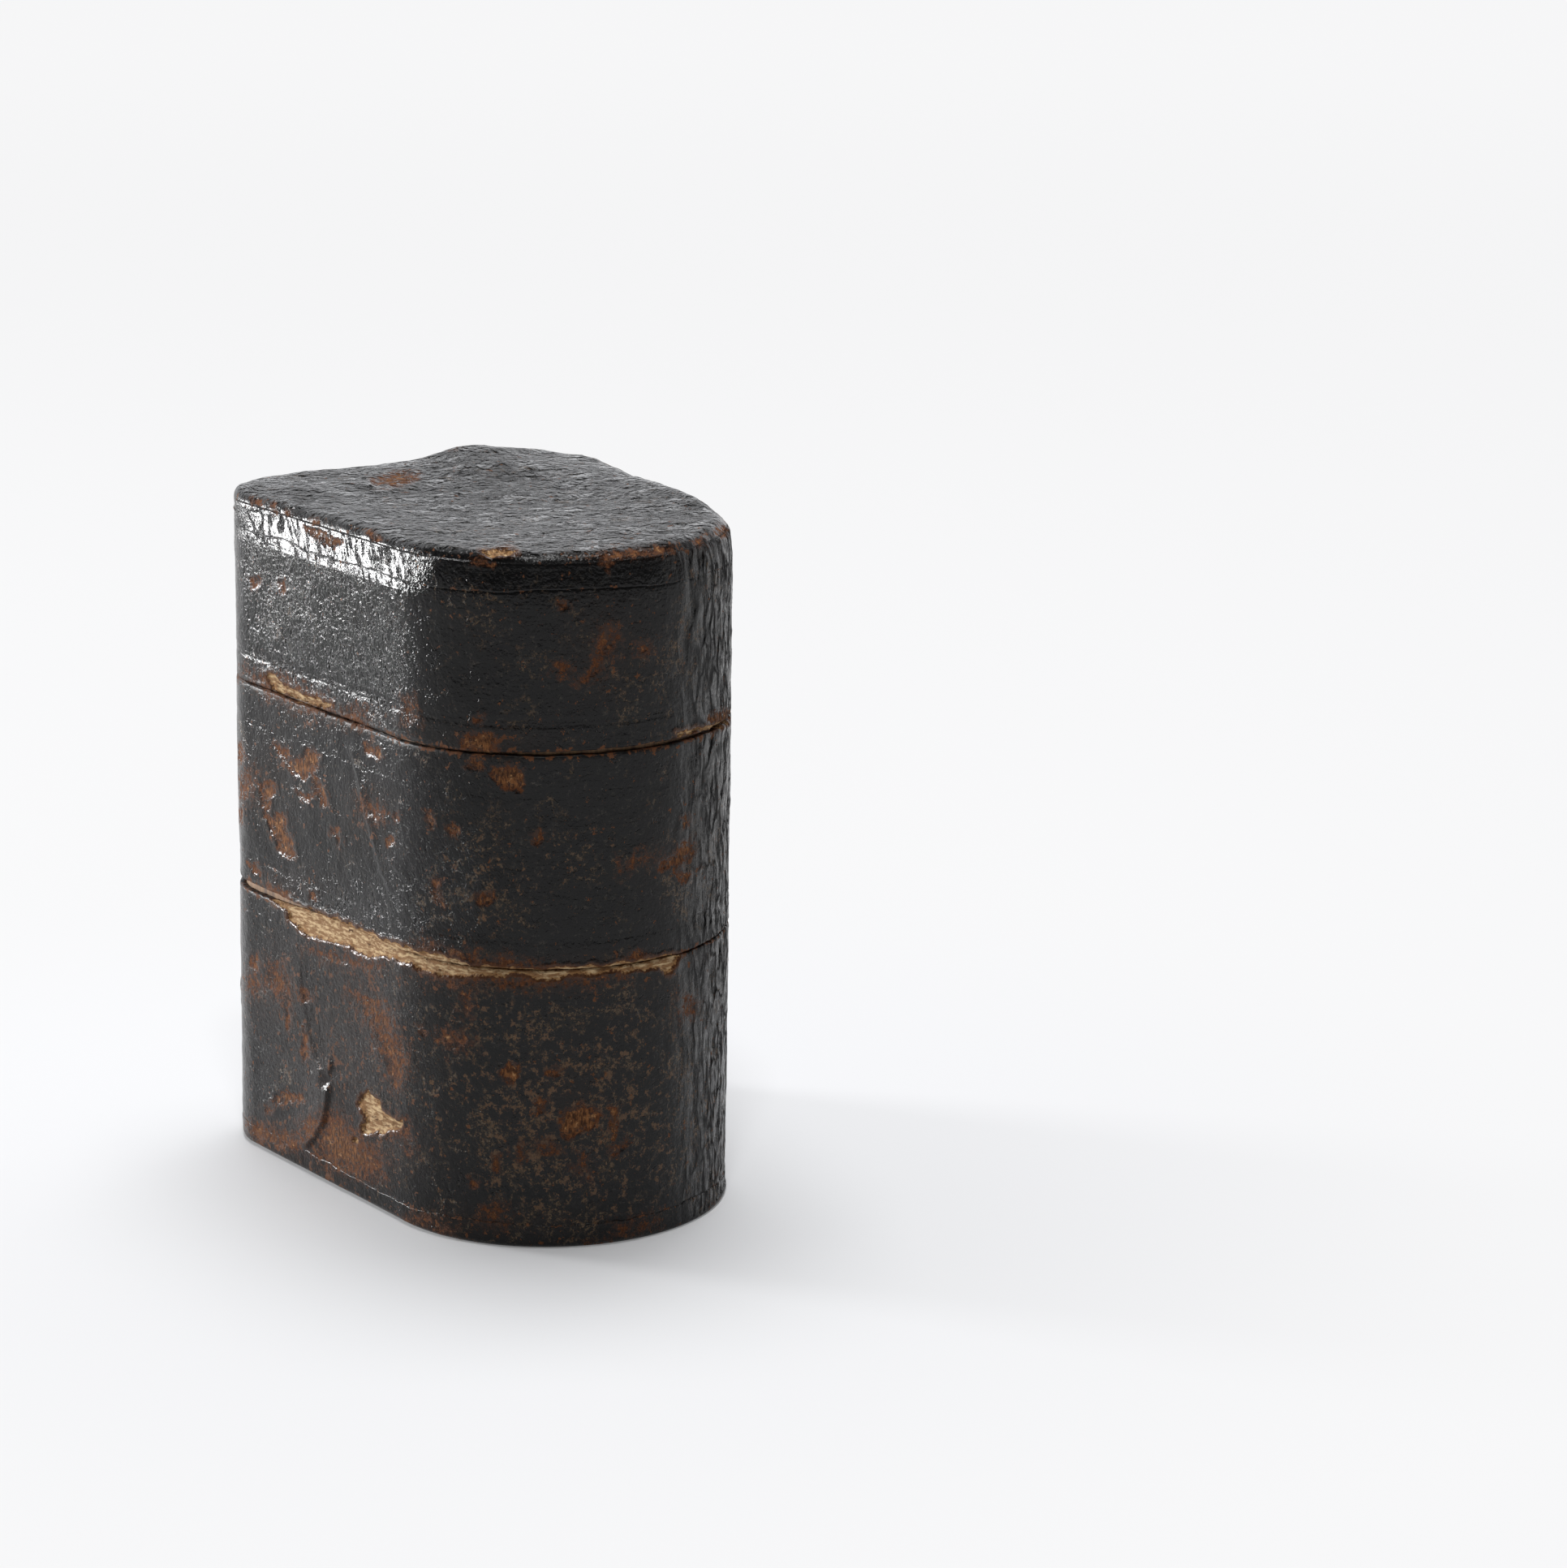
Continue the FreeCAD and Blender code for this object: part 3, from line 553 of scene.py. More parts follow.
def turning_away(along):
    """1 where the round end turns away from the photograph's camera, with upright wrinkles."""
    past = ease_between(along, ROUND_END[0] + 56, ROUND_END[0] + 76)
    return past * ease_between(along, ROUND_END[1] + 30, ROUND_END[1])


def tooled(level):
    """A narrow double groove at each pressed line."""
    depth = np.zeros_like(level)
    for line, strength in TOOLED_LINES:
        for offset in (-TOOLED_HALF_GAP, TOOLED_HALF_GAP):
            depth -= strength * bulge(level - line, offset, TOOLED_HALF_WIDTH)
    return depth


# Meshes
def add_object(name, data):
    made = bpy.data.objects.new(name, data)
    bpy.context.scene.collection.objects.link(made)
    return made


def shell(name, points, unwrap, fields, closed=False, ends=(False, False)):
    """A mesh over rows of points that run round the case, closed row to row or capped at its ends."""
    rows, columns = points.shape[:2]
    vertices = points.reshape(-1, 3)
    index = np.arange(rows * columns).reshape(rows, columns)
    lower = index if closed else index[:-1]
    upper = np.roll(index, -1, axis=0) if closed else index[1:]
    quads = np.stack([lower, np.roll(lower, -1, axis=1), np.roll(upper, -1, axis=1), upper], axis=-1)
    quads = quads.reshape(-1, 4)
    triangles = []
    centres = []
    for wanted, row, flip in ((ends[0], index[0], True), (ends[1], index[-1], False)):
        if wanted:
            centre = len(vertices) + len(centres)
            centres.append(points.reshape(-1, 3)[row].mean(axis=0))
            # Each cap winds so that its faces look outwards
            around = np.roll(row, -1)
            first, second = (around, row) if flip else (row, around)
            triangles.append(np.stack([first, second, np.full(columns, centre)], axis=-1))
    if centres:
        vertices = np.vstack([vertices, np.array(centres)])
    faces = quads.tolist() + [face for group in triangles for face in group.tolist()]
    mesh = bpy.data.meshes.new(name)
    mesh.from_pydata((vertices * MM).tolist(), [], faces)
    for field, values in fields.items():
        flat = np.append(values.reshape(-1), np.zeros(len(centres)))
        mesh.attributes.new(field, "FLOAT", "POINT").data.foreach_set("value", flat.astype(np.float32))
    layer = mesh.uv_layers.new(name="wrap")
    flat = np.vstack([unwrap.reshape(-1, 2), np.zeros((len(centres), 2))])
    loops = np.zeros(len(mesh.loops), dtype=np.int32)
    mesh.loops.foreach_get("vertex_index", loops)
    wrapped = flat[loops]
    # A quad across the joint goes on past the far end of the map, so that it doesn't run back over it
    across = wrapped[: 4 * len(quads)].reshape(-1, 4, 2)
    behind = across[..., 0].max(axis=1, keepdims=True) - across[..., 0] > PERIMETER / (2 * UNWRAP_SCALE)
    across[..., 0] += behind * PERIMETER / UNWRAP_SCALE
    layer.data.foreach_set("uv", wrapped.astype(np.float32).reshape(-1))
    mesh.polygons.foreach_set("use_smooth", [True] * len(mesh.polygons))
    mesh.update()
    return add_object(name, mesh)


def columns_for(height):
    """How many columns and rows of square quads cover a skin of that height."""
    spacing = math.sqrt(PERIMETER * height / QUADS_PER_SKIN)
    return int(PERIMETER / spacing), max(8, int(height / spacing))


def edge_profile(bottom, top, rows):
    """A skin's section, up the outside and back down inside: level, inset, share of the relief it takes."""
    turn = np.linspace(0, math.pi / 2, 5)[1:-1]
    edge = EDGE_RADIUS
    low = [(bottom, LEATHER, 0.0), (bottom, edge, 0.3)]
    low += [(bottom + edge * (1 - math.sin(a)), edge * (1 - math.cos(a)), 1.0) for a in turn[::-1]]
    face = [(z, 0.0, 1.0) for z in np.linspace(bottom + edge, top - edge, rows)]
    high = [(top - edge * (1 - math.sin(a)), edge * (1 - math.cos(a)), 1.0) for a in turn]
    high += [(top, edge, 0.3), (top, LEATHER, 0.0)]
    back = [(z, LEATHER, 0.0) for z in np.linspace(top, bottom, 6)[1:-1]]
    return np.array(low + face + high + back)


def edge_warp(along, seed, lift, gaps):
    """How far a hand-cut edge wanders from its level, and where it stands open."""
    walk = walked(along, seed * 7.0)
    warp = lift * noise(walk, 45.0, seed) + CUT_EDGE_HEIGHT * layered(walk, 2.2, seed + 1, layers=3)
    for middle, half, height in gaps:
        warp = warp + height * np.exp(-(((along - middle) / half) ** 4))
    return warp


def side_skin(name, bottom, top, low_lift, high_lift, seed, tuck=None, low_gaps=(), high_gaps=()):
    """Leather round the side of one section, from one cut edge to the other."""
    columns, rows = columns_for(top - bottom)
    profile = edge_profile(bottom, top, rows)
    along = np.broadcast_to(np.arange(columns) * PERIMETER / columns, (len(profile), columns)).copy()
    level, inset, outside = (np.broadcast_to(part[:, None], along.shape) for part in profile.T)
    flat, out = plan(along)
    outward = np.concatenate([out, np.zeros_like(out[..., :1])], axis=-1)
    low = (1 - ease_between(level, bottom, bottom + 5)) * edge_warp(along, seed, low_lift, low_gaps)
    high = ease_between(level, top - 5, top) * edge_warp(along, seed + 3, high_lift, high_gaps)
    height = level + low + high
    points = np.concatenate([flat - out * inset[..., None], height[..., None]], axis=-1)
    brown, cream = wear_fields(points, outward)
    relief = leather_relief(points, outward, along, height, brown, cream)
    relief += tooled(level) + crease_height(points, outward)
    relief -= JOINT_DEPTH * bulge(np.minimum(along, PERIMETER - along), 0, JOINT_HALF)
    if tuck is not None:
        lap, lap_seed, sign = tuck
        under = sign * (height - lap_level(along[0], lap, lap_seed))
        relief -= TUCK * ease_between(under, -0.1, 0.25)
    fields = wear_regions(points, outward)
    relief = np.maximum(relief, -DEEPEST)
    points = points + outward * (relief * outside)[..., None]
    unwrap = np.stack([along, level], axis=-1) / UNWRAP_SCALE
    edge = 1 - ease_between(np.minimum(level - bottom, top - level), 0.0, 1.8)
    fields.update(brown=brown, cream=cream, edge=edge, turning=turning_away(along))
    fields.update(band=band_height(along, level))
    return shell(name, points, unwrap, fields, closed=True)


def lap_level(along, middle, seed):
    """The wandering edge of a turned-over piece of leather."""
    walk = walked(along, 0.0)
    return middle + 0.9 * noise(walk, 24.0, seed) + 0.3 * layered(walk, 4.0, seed + 1, layers=3)


def turned_skin(name, rim_level, rim_radius, lap, up, seed, rings, rows):
    """Leather over one end of the case, turned over the rim and lapped along the side."""
    sign = 1 if up else -1
    along = np.arange(END_COLUMNS) * PERIMETER / END_COLUMNS
    flat, out = plan(along)
    lapped = lap_level(along, lap, seed)
    centre = np.array(END_MIDDLE)
    rim_start = rim_level - sign * rim_radius
    rings_of = []

    def add(place, level, across, rise, weight):
        """One ring of points, with the way they face and their share of the relief."""
        points = np.concatenate([place, np.broadcast_to(level, along.shape)[:, None]], axis=-1)
        facing = np.concatenate([out * across, np.full((END_COLUMNS, 1), sign * rise)], axis=-1)
        rings_of.append((points, facing, np.full(END_COLUMNS, weight)))

    # The inner face, from its middle to the cut edge
    inner = flat - out * LEATHER
    add(centre + (flat - out * TURNED_IN - centre) * 0.02, rim_level - sign * LEATHER, 0, 1, 0)
    add(flat - out * TURNED_IN, rim_level - sign * LEATHER, 0, 1, 0)
    add(inner, rim_start, 1, 0, 0)
    add(inner, lapped, 1, 0, 0)
    add(flat - out * TUCK, lapped, 1, 0, 1)
    # The outer face: up the side, round the rim and in to the middle
    rise = (LAP_RISE * (0.55 + 0.6 * layered(walked(along, 0.0), 14.0, seed + 5, layers=2)))[:, None]
    add(flat, lapped + sign * 0.1, 1, 0, 1)
    for share in np.linspace(0.06, 1, rows):
        add(flat + out * rise * (1 - share), lapped + (rim_start - lapped) * share, 1, 0, 1)
    for angle in np.linspace(0, math.pi / 2, 12)[1:]:
        inset = rim_radius * (1 - math.cos(angle))
        level = rim_start + sign * rim_radius * math.sin(angle)
        add(flat - out * inset, level, math.cos(angle), math.sin(angle), 1)
    rim = flat - out * rim_radius
    for share in np.linspace(0, 0.985, rings)[1:]:
        add(centre + (rim - centre) * (1 - share), rim_level, 0, 1, 1)
    points, facing, weight = (np.array(part) for part in zip(*rings_of))
    around = np.broadcast_to(along, weight.shape)
    brown, cream = wear_fields(points, facing)
    relief = leather_relief(points, facing, around, points[..., 2], brown, cream)
    if up:
        relief += crown_shape(points, facing)
    else:
        relief = relief * ease_between(facing[..., 2], -0.95, -0.3)
    fields = wear_regions(points, facing)
    relief = np.maximum(relief, -DEEPEST)
    points = points + facing * (relief * weight)[..., None]
    points[..., 2] = np.maximum(points[..., 2], 0.0)
    side = np.abs(facing[..., 2]) < 0.5
    unwrap = np.where(side[..., None], np.stack([around, points[..., 2]], axis=-1), points[..., :2])
    lap_edge = 1 - ease_between(np.abs(points[..., 2] - lapped), 0.0, 0.5)
    rim = bulge(points[..., 2] - rim_level + sign * 1.2, 0, 1.2) * (facing[..., 2] * sign < 0.97)
    fields.update(brown=brown, cream=cream, edge=np.maximum(lap_edge * 0.7, rim * 0.4))
    fields.update(turning=turning_away(around) * side, crown=ease_between(facing[..., 2], 0.8, 1.0))
    fields.update(band=band_height(around, points[..., 2]) * side)
    return shell(name, points, unwrap / UNWRAP_SCALE, fields, ends=(True, True))


def crown_shape(points, facing):
    """The top is dished inside its rim, and stands higher at the swellings near the back."""
    flat = ease_between(facing[..., 2], 0.5, 1.0)
    spread = np.linalg.norm((points[..., :2] - np.array(DISH_MIDDLE)) / np.array(DISH_HALF), axis=-1)
    dish = -DISH_DEPTH * ease_between(spread, 1.0, 0.35)
    hump = np.zeros(points.shape[:-1])
    for middle, half, height in HUMPS:
        hump += height * spot(points[..., :2], middle, half)
    ripples = RIPPLE_HEIGHT * layered(points, (8.0, 12.0, 8.0), 71, layers=3, gain=0.42)
    return flat * (dish + ripples) + hump * ease_between(facing[..., 2], 0.0, 0.8)


def softened(node, name, grain, lumps):
    """A soft copy of a CAD lining, with rounded edges and an uneven surface."""
    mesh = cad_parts[node].data.copy()
    mesh.name = name
    mesh.materials.clear()
    piece = add_object(name, mesh)
    remesh = piece.modifiers.new("remesh", "REMESH")
    remesh.mode = "VOXEL"
    remesh.voxel_size = grain * MM
    smooth = piece.modifiers.new("smooth", "SMOOTH")
    smooth.factor = 0.5
    smooth.iterations = 2
    evaluated = piece.evaluated_get(bpy.context.evaluated_depsgraph_get())
    made = bpy.data.meshes.new_from_object(evaluated)
    made.name = name
    piece.modifiers.clear()
    piece.data = made
    places, facing = (np.zeros(len(made.vertices) * 3, dtype=np.float32) for part in range(2))
    made.vertices.foreach_get("co", places)
    made.vertices.foreach_get("normal", facing)
    places = places.reshape(-1, 3)
    push = lumps * layered(places / MM, 4.0, 5, layers=2) - abs(lumps)
    places = places + facing.reshape(-1, 3) * (push * MM)[:, None]
    made.vertices.foreach_set("co", places.reshape(-1).astype(np.float32))
    made.polygons.foreach_set("use_smooth", [True] * len(made.polygons))
    made.update()
    return piece


# Materials
class Graph:
    """A short way to write a tree of nodes."""

    def __init__(self, tree):
        self.tree = tree

    def put(self, socket, value):
        """Links a value that is an output, and sets any other."""
        if isinstance(value, bpy.types.NodeSocket):
            self.tree.links.new(value, socket)
        else:
            socket.default_value = (*value, 1) if socket.type == "RGBA" else value

    def node(self, kind, inputs=(), **settings):
        """A new node with its settings and its inputs, each input by its name or number."""
        made = self.tree.nodes.new("ShaderNode" + kind)
        for key, value in settings.items():
            setattr(made, key, value)
        for key, value in dict(inputs).items():
            self.put(made.inputs[key], value)
        return made

    def math(self, operation, first, second=0.0):
        return self.node("Math", {0: first, 1: second}, operation=operation).outputs[0]

    def add(self, first, second):
        return self.math("ADD", first, second)

    def times(self, first, second):
        return self.math("MULTIPLY", first, second)

    def most(self, first, second):
        return self.math("MAXIMUM", first, second)

    def vector(self, operation, first, second, output="Vector"):
        """Vector maths, where the second value is a number for SCALE and a vector otherwise."""
        inputs = {0: first, "Scale" if operation == "SCALE" else 1: second}
        return self.node("VectorMath", inputs, operation=operation).outputs[output]

    def ranged(self, kind, value, ends):
        inputs = zip(("Value", "From Min", "From Max", "To Min", "To Max"), (value, *ends))
        return self.node("MapRange", inputs, interpolation_type=kind).outputs[0]

    def step(self, value, low, high, start=0.0, stop=1.0):
        """start at low and beyond it, stop at high and beyond it, and smooth between them."""
        ends = (low, high, start, stop) if low < high else (high, low, stop, start)
        return self.ranged("SMOOTHSTEP", value, ends)

    def spread(self, value, low, high):
        """Turns 0 to 1 into low to high."""
        return self.ranged("LINEAR", value, (0.0, 1.0, low, high))

    def place(self):
        """The point on the object, in millimetres."""
        return self.vector("SCALE", self.node("TexCoord").outputs["Object"], 1 / MM)

    def noise(self, place, size, detail, roughness, output=0):
        """Noise about 0.5, with lumps of a size in millimetres."""
        inputs = {"Vector": place, "Scale": 1 / size, "Detail": detail, "Roughness": roughness}
        return self.node("TexNoise", inputs).outputs[output]

    def bent(self, place, size, reach):
        """A place pushed about by noise."""
        push = self.vector("SUBTRACT", self.noise(place, size, 3, 0.5, "Color"), (0.5, 0.5, 0.5))
        return self.vector("ADD", place, self.vector("SCALE", push, reach))


class Surface(Graph):
    """The nodes of a material with one shader."""

    def __init__(self, name):
        self.material = bpy.data.materials.new(name)
        self.material.use_nodes = True
        super().__init__(self.material.node_tree)
        self.tree.nodes.clear()
        self.output = self.node("OutputMaterial")
        self.shader = self.node("BsdfPrincipled")
        self.put(self.output.inputs[0], self.shader.outputs[0])

    def mix(self, share, first, second):
        return self.node("Mix", {0: share, 6: first, 7: second}, data_type="RGBA").outputs[2]

    def attribute(self, name):
        return self.node("Attribute", attribute_name=name).outputs["Fac"]

    def unwrapped(self, across=1.0, up=1.0):
        """The distance round the case and up it, in millimetres times a scale each way."""
        wrap = self.node("UVMap", uv_map="wrap").outputs[0]
        return self.vector("MULTIPLY", wrap, (UNWRAP_SCALE * across, UNWRAP_SCALE * up, UNWRAP_SCALE))

    def slanting(self, degrees, stretch):
        """The unwrapped place, for marks that are drawn out along a slant."""
        inputs = {
            "Vector": self.unwrapped(),
            "Rotation": (0.0, 0.0, math.radians(degrees)),
            "Scale": (1.0, stretch, 1.0),
        }
        return self.node("Mapping", inputs, vector_type="TEXTURE").outputs[0]

    def lines(self, place, size, detail=2, roughness=0.5, level=0.5):
        """0 along winding lines and more away from them."""
        return self.math("ABSOLUTE", self.add(self.noise(place, size, detail, roughness), -level))

    def pits(self, place, size):
        """The distance to the nearest of many scattered points."""
        inputs = {"Vector": place, "Scale": 1 / size}
        return self.node("TexVoronoi", inputs, feature="SMOOTH_F1").outputs["Distance"]

    def bump(self, height):
        """Relief from a height in millimetres."""
        made = self.node("Bump", {"Distance": MM, "Height": height})
        self.put(self.shader.inputs["Normal"], made.outputs[0])

    def finish(self, **values):
        for name, value in values.items():
            self.put(self.shader.inputs[name.replace("_", " ")], value)
        return self.material


# Colours of the leather, where there are two from the darker to the paler
BLACKS = ((0.0020, 0.0019, 0.0021), (0.0060, 0.0058, 0.0058))
HAZE = (0.060, 0.051, 0.041)
STAIN = (0.016, 0.0070, 0.0035)
SUEDES = ((0.042, 0.016, 0.006), (0.220, 0.090, 0.031))
SUEDE_TIPS = (0.40, 0.21, 0.09)
SUEDE_EDGE = (0.11, 0.036, 0.012)
CORES = ((0.24, 0.13, 0.058), (0.57, 0.415, 0.235))
CORE_HOLES = (0.085, 0.036, 0.014)
CORE_EDGE = (0.36, 0.19, 0.075)
WEB = (0.165, 0.108, 0.062)
CLOUD = (0.150, 0.080, 0.038)
SCUFF = (0.095, 0.085, 0.072)
HALO = (0.046, 0.017, 0.007)
SPECK = (0.155, 0.058, 0.021)
CRACK = (0.003, 0.0028, 0.0026)
TORN_RIM = (0.085, 0.032, 0.012)


def leather_material():
    """Black leather, cracked and rubbed through to brown suede, and torn to its cream core."""
    g = Surface("worn_leather")
    place = g.place()
    names = ("edge", "web", "stain", "cracked", "turning", "shine", "glaze", "crown")
    edge, webbed, stained, cracked, turning, shine, glaze, crown = map(g.attribute, names)
    # Depths inside the marks, made ragged
    fine_rag = g.add(g.noise(place, 0.5, 5, 0.75), -0.5)
    rag = g.add(g.noise(place, 1.4, 5, 0.7), -0.5)
    brown_depth = g.add(g.attribute("brown"), g.add(g.times(fine_rag, 2.2), g.times(rag, 4.2)))
    cream_depth = g.add(g.attribute("cream"), g.add(g.times(fine_rag, 1.4), g.times(rag, 1.3)))
    islands = g.step(g.noise(place, 1.0, 5, 0.72), 0.550, 0.515)
    brown = g.times(g.step(brown_depth, -0.04, 0.06), g.most(islands, g.step(brown_depth, 0.9, 1.3)))
    cream = g.step(cream_depth, -0.05, 0.07)
    halo = g.times(g.step(brown_depth, -0.7, 0.0), 0.75)
    # Brown specks anywhere, with more of them on edges and stains
    likely = g.add(g.add(g.times(edge, 0.11), g.times(stained, 0.085)), g.times(shine, -0.05))
    speck = g.step(g.add(g.noise(place, 1.7, 5, 0.70), likely), 0.640, 0.662)
    # A pale web of broken lines, and clouds of wear
    first = g.step(g.lines(g.bent(place, 0.9, 1.5), 11.0), 0.035, 0.0)
    second = g.step(g.lines(g.bent(place, 0.8, 1.3), 6.5, level=0.47), 0.035, 0.0)
    broken = g.step(g.noise(place, 0.7, 4, 0.75), 0.47, 0.58)
    patchy = g.step(g.add(g.noise(place, 7.0, 3, 0.6), g.times(webbed, 0.30)), 0.55, 0.70)
    web = g.times(g.most(first, g.times(second, 0.85)), broken)
    web = g.times(web, g.times(patchy, g.spread(shine, 1.0, 0.2)))
    cloud = g.step(g.add(g.noise(place, 1.9, 6, 0.76), g.times(webbed, 0.11)), 0.625, 0.68)
    cloud = g.times(cloud, g.step(webbed, 0.1, 0.5))
    # Bright streaks where the surface is glossy
    glints = g.times(shine, g.step(g.noise(g.slanting(30, 3.0), 1.6, 4, 0.65), 0.50, 0.59))
    # The black surface, its haze, cracks and stains
    black = g.mix(g.noise(place, 2.5, 5, 0.6), *BLACKS)
    haze = g.step(g.noise(place, 1.3, 7, 0.82), 0.56, 0.65)
    black = g.mix(g.times(haze, g.add(g.times(crown, 0.2), 0.62)), black, HAZE)
    cracks = g.step(g.lines(g.bent(place, 2.0, 1.6), 5.0, 3, 0.55), 0.014, 0.004)
    cracks = g.times(cracks, g.step(g.noise(place, 3.2, 3, 0.6), 0.54, 0.60))
    cracks = g.times(cracks, g.add(g.times(crown, 0.85), 0.15))
    stain = g.times(stained, g.spread(g.step(g.noise(place, 1.1, 6, 0.75), 0.38, 0.66), 0.35, 1.0))
    black = g.mix(g.times(stain, 0.85), black, STAIN)
    # Brown suede, and the fibres of the cream core
    nap = g.noise(g.unwrapped(1.3, 0.45), 0.7, 5, 0.7)
    suede = g.mix(g.step(nap, 0.40, 0.62), *SUEDES)
    suede = g.mix(g.step(g.noise(place, 1.6, 6, 0.75), 0.55, 0.66), suede, SUEDE_TIPS)
    suede = g.mix(g.step(brown_depth, 0.7, 0.05), suede, SUEDE_EDGE)
    fibre = g.noise(g.unwrapped(0.35, 1.3), 0.9, 6, 0.7)
    core = g.mix(g.step(fibre, 0.45, 0.59), *CORES)
    core = g.mix(g.step(g.noise(g.unwrapped(0.45), 1.6, 6, 0.75), 0.585, 0.64), core, CORE_HOLES)
    core = g.mix(g.step(cream_depth, 0.4, 0.0), core, CORE_EDGE)
    # The colours laid over each other
    scuff = g.step(g.noise(g.unwrapped(0.35), 1.3, 7, 0.8), 0.60, 0.68)
    colour = black
    for share, over in (
        (g.times(web, 0.62), WEB),
        (g.times(cloud, 0.65), CLOUD),
        (g.times(scuff, 0.5), SCUFF),
        (halo, HALO),
        (g.times(speck, g.spread(stained, 0.75, 0.5)), SPECK),
        (g.times(cracks, 0.9), CRACK),
        (brown, suede),
        (g.times(g.step(cream_depth, -1.0, -0.05), 0.85), TORN_RIM),
        (cream, core),
    ):
        colour = g.mix(share, colour, over)
    # Gloss
    bare = g.most(brown, cream)
    rubbed = g.most(g.times(speck, 0.8), g.times(web, 0.3))
    folds = g.lines(g.bent(g.unwrapped(1.0, 0.4), 5.0, 2.0), 5.5)
    dull = g.most(g.most(bare, rubbed), g.times(g.step(folds, 0.03, 0.0), turning))
    plain = g.add(g.spread(g.noise(place, 1.0, 5, 0.7), 0.06, 0.21), g.times(shine, 0.08))
    polished = g.spread(g.noise(place, 0.8, 5, 0.7), 0.03, 0.17)
    smooth = g.most(glints, glaze)
    gloss = g.add(g.times(plain, g.spread(smooth, 1.0, 0.0)), g.times(polished, smooth))
    dusty = g.times(crown, g.spread(g.step(g.noise(place, 6.0, 5, 0.65), 0.40, 0.60), 0.18, -0.06))
    gloss = g.add(g.add(gloss, dusty), g.times(edge, g.spread(glaze, 0.3, 0.0)))
    rough = g.add(g.times(gloss, g.spread(dull, 1.0, 0.0)), g.times(dull, 0.85))
    # Relief: pebbled grain, slanting cracks, upright wrinkles and fine streaks round the case
    slits = g.step(g.lines(g.slanting(24, 3.2), 1.5, 4, 0.6), 0.035, 0.0)
    furrows = g.step(g.lines(g.unwrapped(1.0, 0.16), 1.3, 4, 0.6), 0.05, 0.0)
    height = g.attribute("band")
    for mark, rise in (
        (g.pits(g.bent(place, 0.6, 0.5), 0.62), 0.05),
        (g.lines(g.bent(place, 1.5, 0.8), 1.3), g.add(g.times(glints, -2.0), -0.12)),
        (g.lines(g.bent(place, 4.0, 2.0), 3.1), g.times(crown, -5.0)),
        (folds, g.times(turning, -9.0)),
        (cracks, -0.30),
        (g.noise(place, 0.3, 3, 0.6), 0.02),
        (g.noise(place, 1.0, 4, 0.6), g.add(g.times(crown, 0.16), 0.09)),
        (g.noise(g.unwrapped(0.10), 0.45, 4, 0.6), 0.03),
        (g.times(slits, cracked), -0.16),
        (g.times(furrows, g.add(g.times(turning, 0.9), 0.06)), -0.12),
        (web, -0.03),
        (bare, -0.10),
        (g.times(brown, nap), 0.16),
        (g.times(cream, fibre), 0.07),
    ):
        height = g.add(height, g.times(mark, rise))
    g.bump(height)
    return g.finish(Base_Color=colour, Roughness=rough, Specular_IOR_Level=0.22)


def wood_material(name, dark, light, dull):
    """Fine straight grain, darker in the pores."""
    g = Surface(name)
    stretched = g.vector("MULTIPLY", g.place(), (1.0, 1.0, 0.08))
    grain = g.noise(g.bent(stretched, 6.0, 1.2), 1.1, 6, 0.65)
    colour = g.mix(g.step(grain, 0.3, 0.7), dark, light)
    colour = g.mix(g.times(g.step(g.noise(stretched, 5.0, 2, 0.5), 0.45, 0.7), 0.35), colour, dark)
    colour = g.mix(g.times(g.step(g.noise(g.place(), 9.0, 4, 0.6), 0.5, 0.75), 0.4), colour, dark)
    g.bump(g.times(grain, 0.08))
    return g.finish(Base_Color=colour, Roughness=g.spread(grain, dull - 0.12, dull + 0.08))


def velvet_material():
    """Short green pile, faded and crushed in places."""
    g = Surface("green_velvet")
    place = g.place()
    crushed = g.noise(place, 7.0, 4, 0.6)
    pile = g.noise(place, 0.25, 3, 0.7)
    colour = g.mix(g.step(crushed, 0.35, 0.68), (0.014, 0.036, 0.021), (0.046, 0.085, 0.046))
    colour = g.mix(g.times(pile, 0.35), colour, (0.085, 0.115, 0.062))
    worn = g.step(g.noise(place, 4.0, 6, 0.7), 0.64, 0.74)
    colour = g.mix(g.times(worn, 0.6), colour, (0.25, 0.21, 0.12))
    g.bump(g.add(g.times(pile, 0.10), g.times(crushed, 0.15)))
    g.finish(Sheen_Weight=0.6, Sheen_Roughness=0.4, Sheen_Tint=(0.45, 0.75, 0.5))
    return g.finish(Base_Color=colour, Roughness=0.9)


def floor_material():
    """A pale sweep that keeps its tone to the camera and takes a soft shadow."""
    g = Surface("pale_floor")
    g.finish(Base_Color=(0.70, 0.705, 0.72), Roughness=0.9, Specular_IOR_Level=0.0)
    glow = g.node("Emission", {"Color": (0.920, 0.920, 0.926)})
    # The sweep glows a little more towards its far end, where the lamps no longer reach
    away = g.vector("LENGTH", g.place(), (0.0, 0.0, 0.0), "Value")
    g.put(glow.inputs["Strength"], g.add(g.times(g.step(away, *FAR_FLOOR), FAR_GAIN), 1.03))
    ray = g.node("LightPath")
    seen = g.add(g.add(ray.outputs["Is Camera Ray"], ray.outputs["Is Glossy Ray"]),
                 ray.outputs["Is Transmission Ray"])
    share = g.add(g.times(g.step(away, *NEAR_FLOOR), FLOOR_GLOW - NEAR_GLOW), NEAR_GLOW)
    share = g.times(g.math("MINIMUM", seen, 1.0), share)
    blend = g.node("MixShader", {0: share, 1: g.shader.outputs[0], 2: glow.outputs[0]})
    g.put(g.output.inputs[0], blend.outputs[0])
    return g.material


def dress(piece, material, body, node):
    """Gives a soft piece its material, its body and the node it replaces."""
    piece.data.materials.append(material)
    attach(piece, body)
    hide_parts(node)


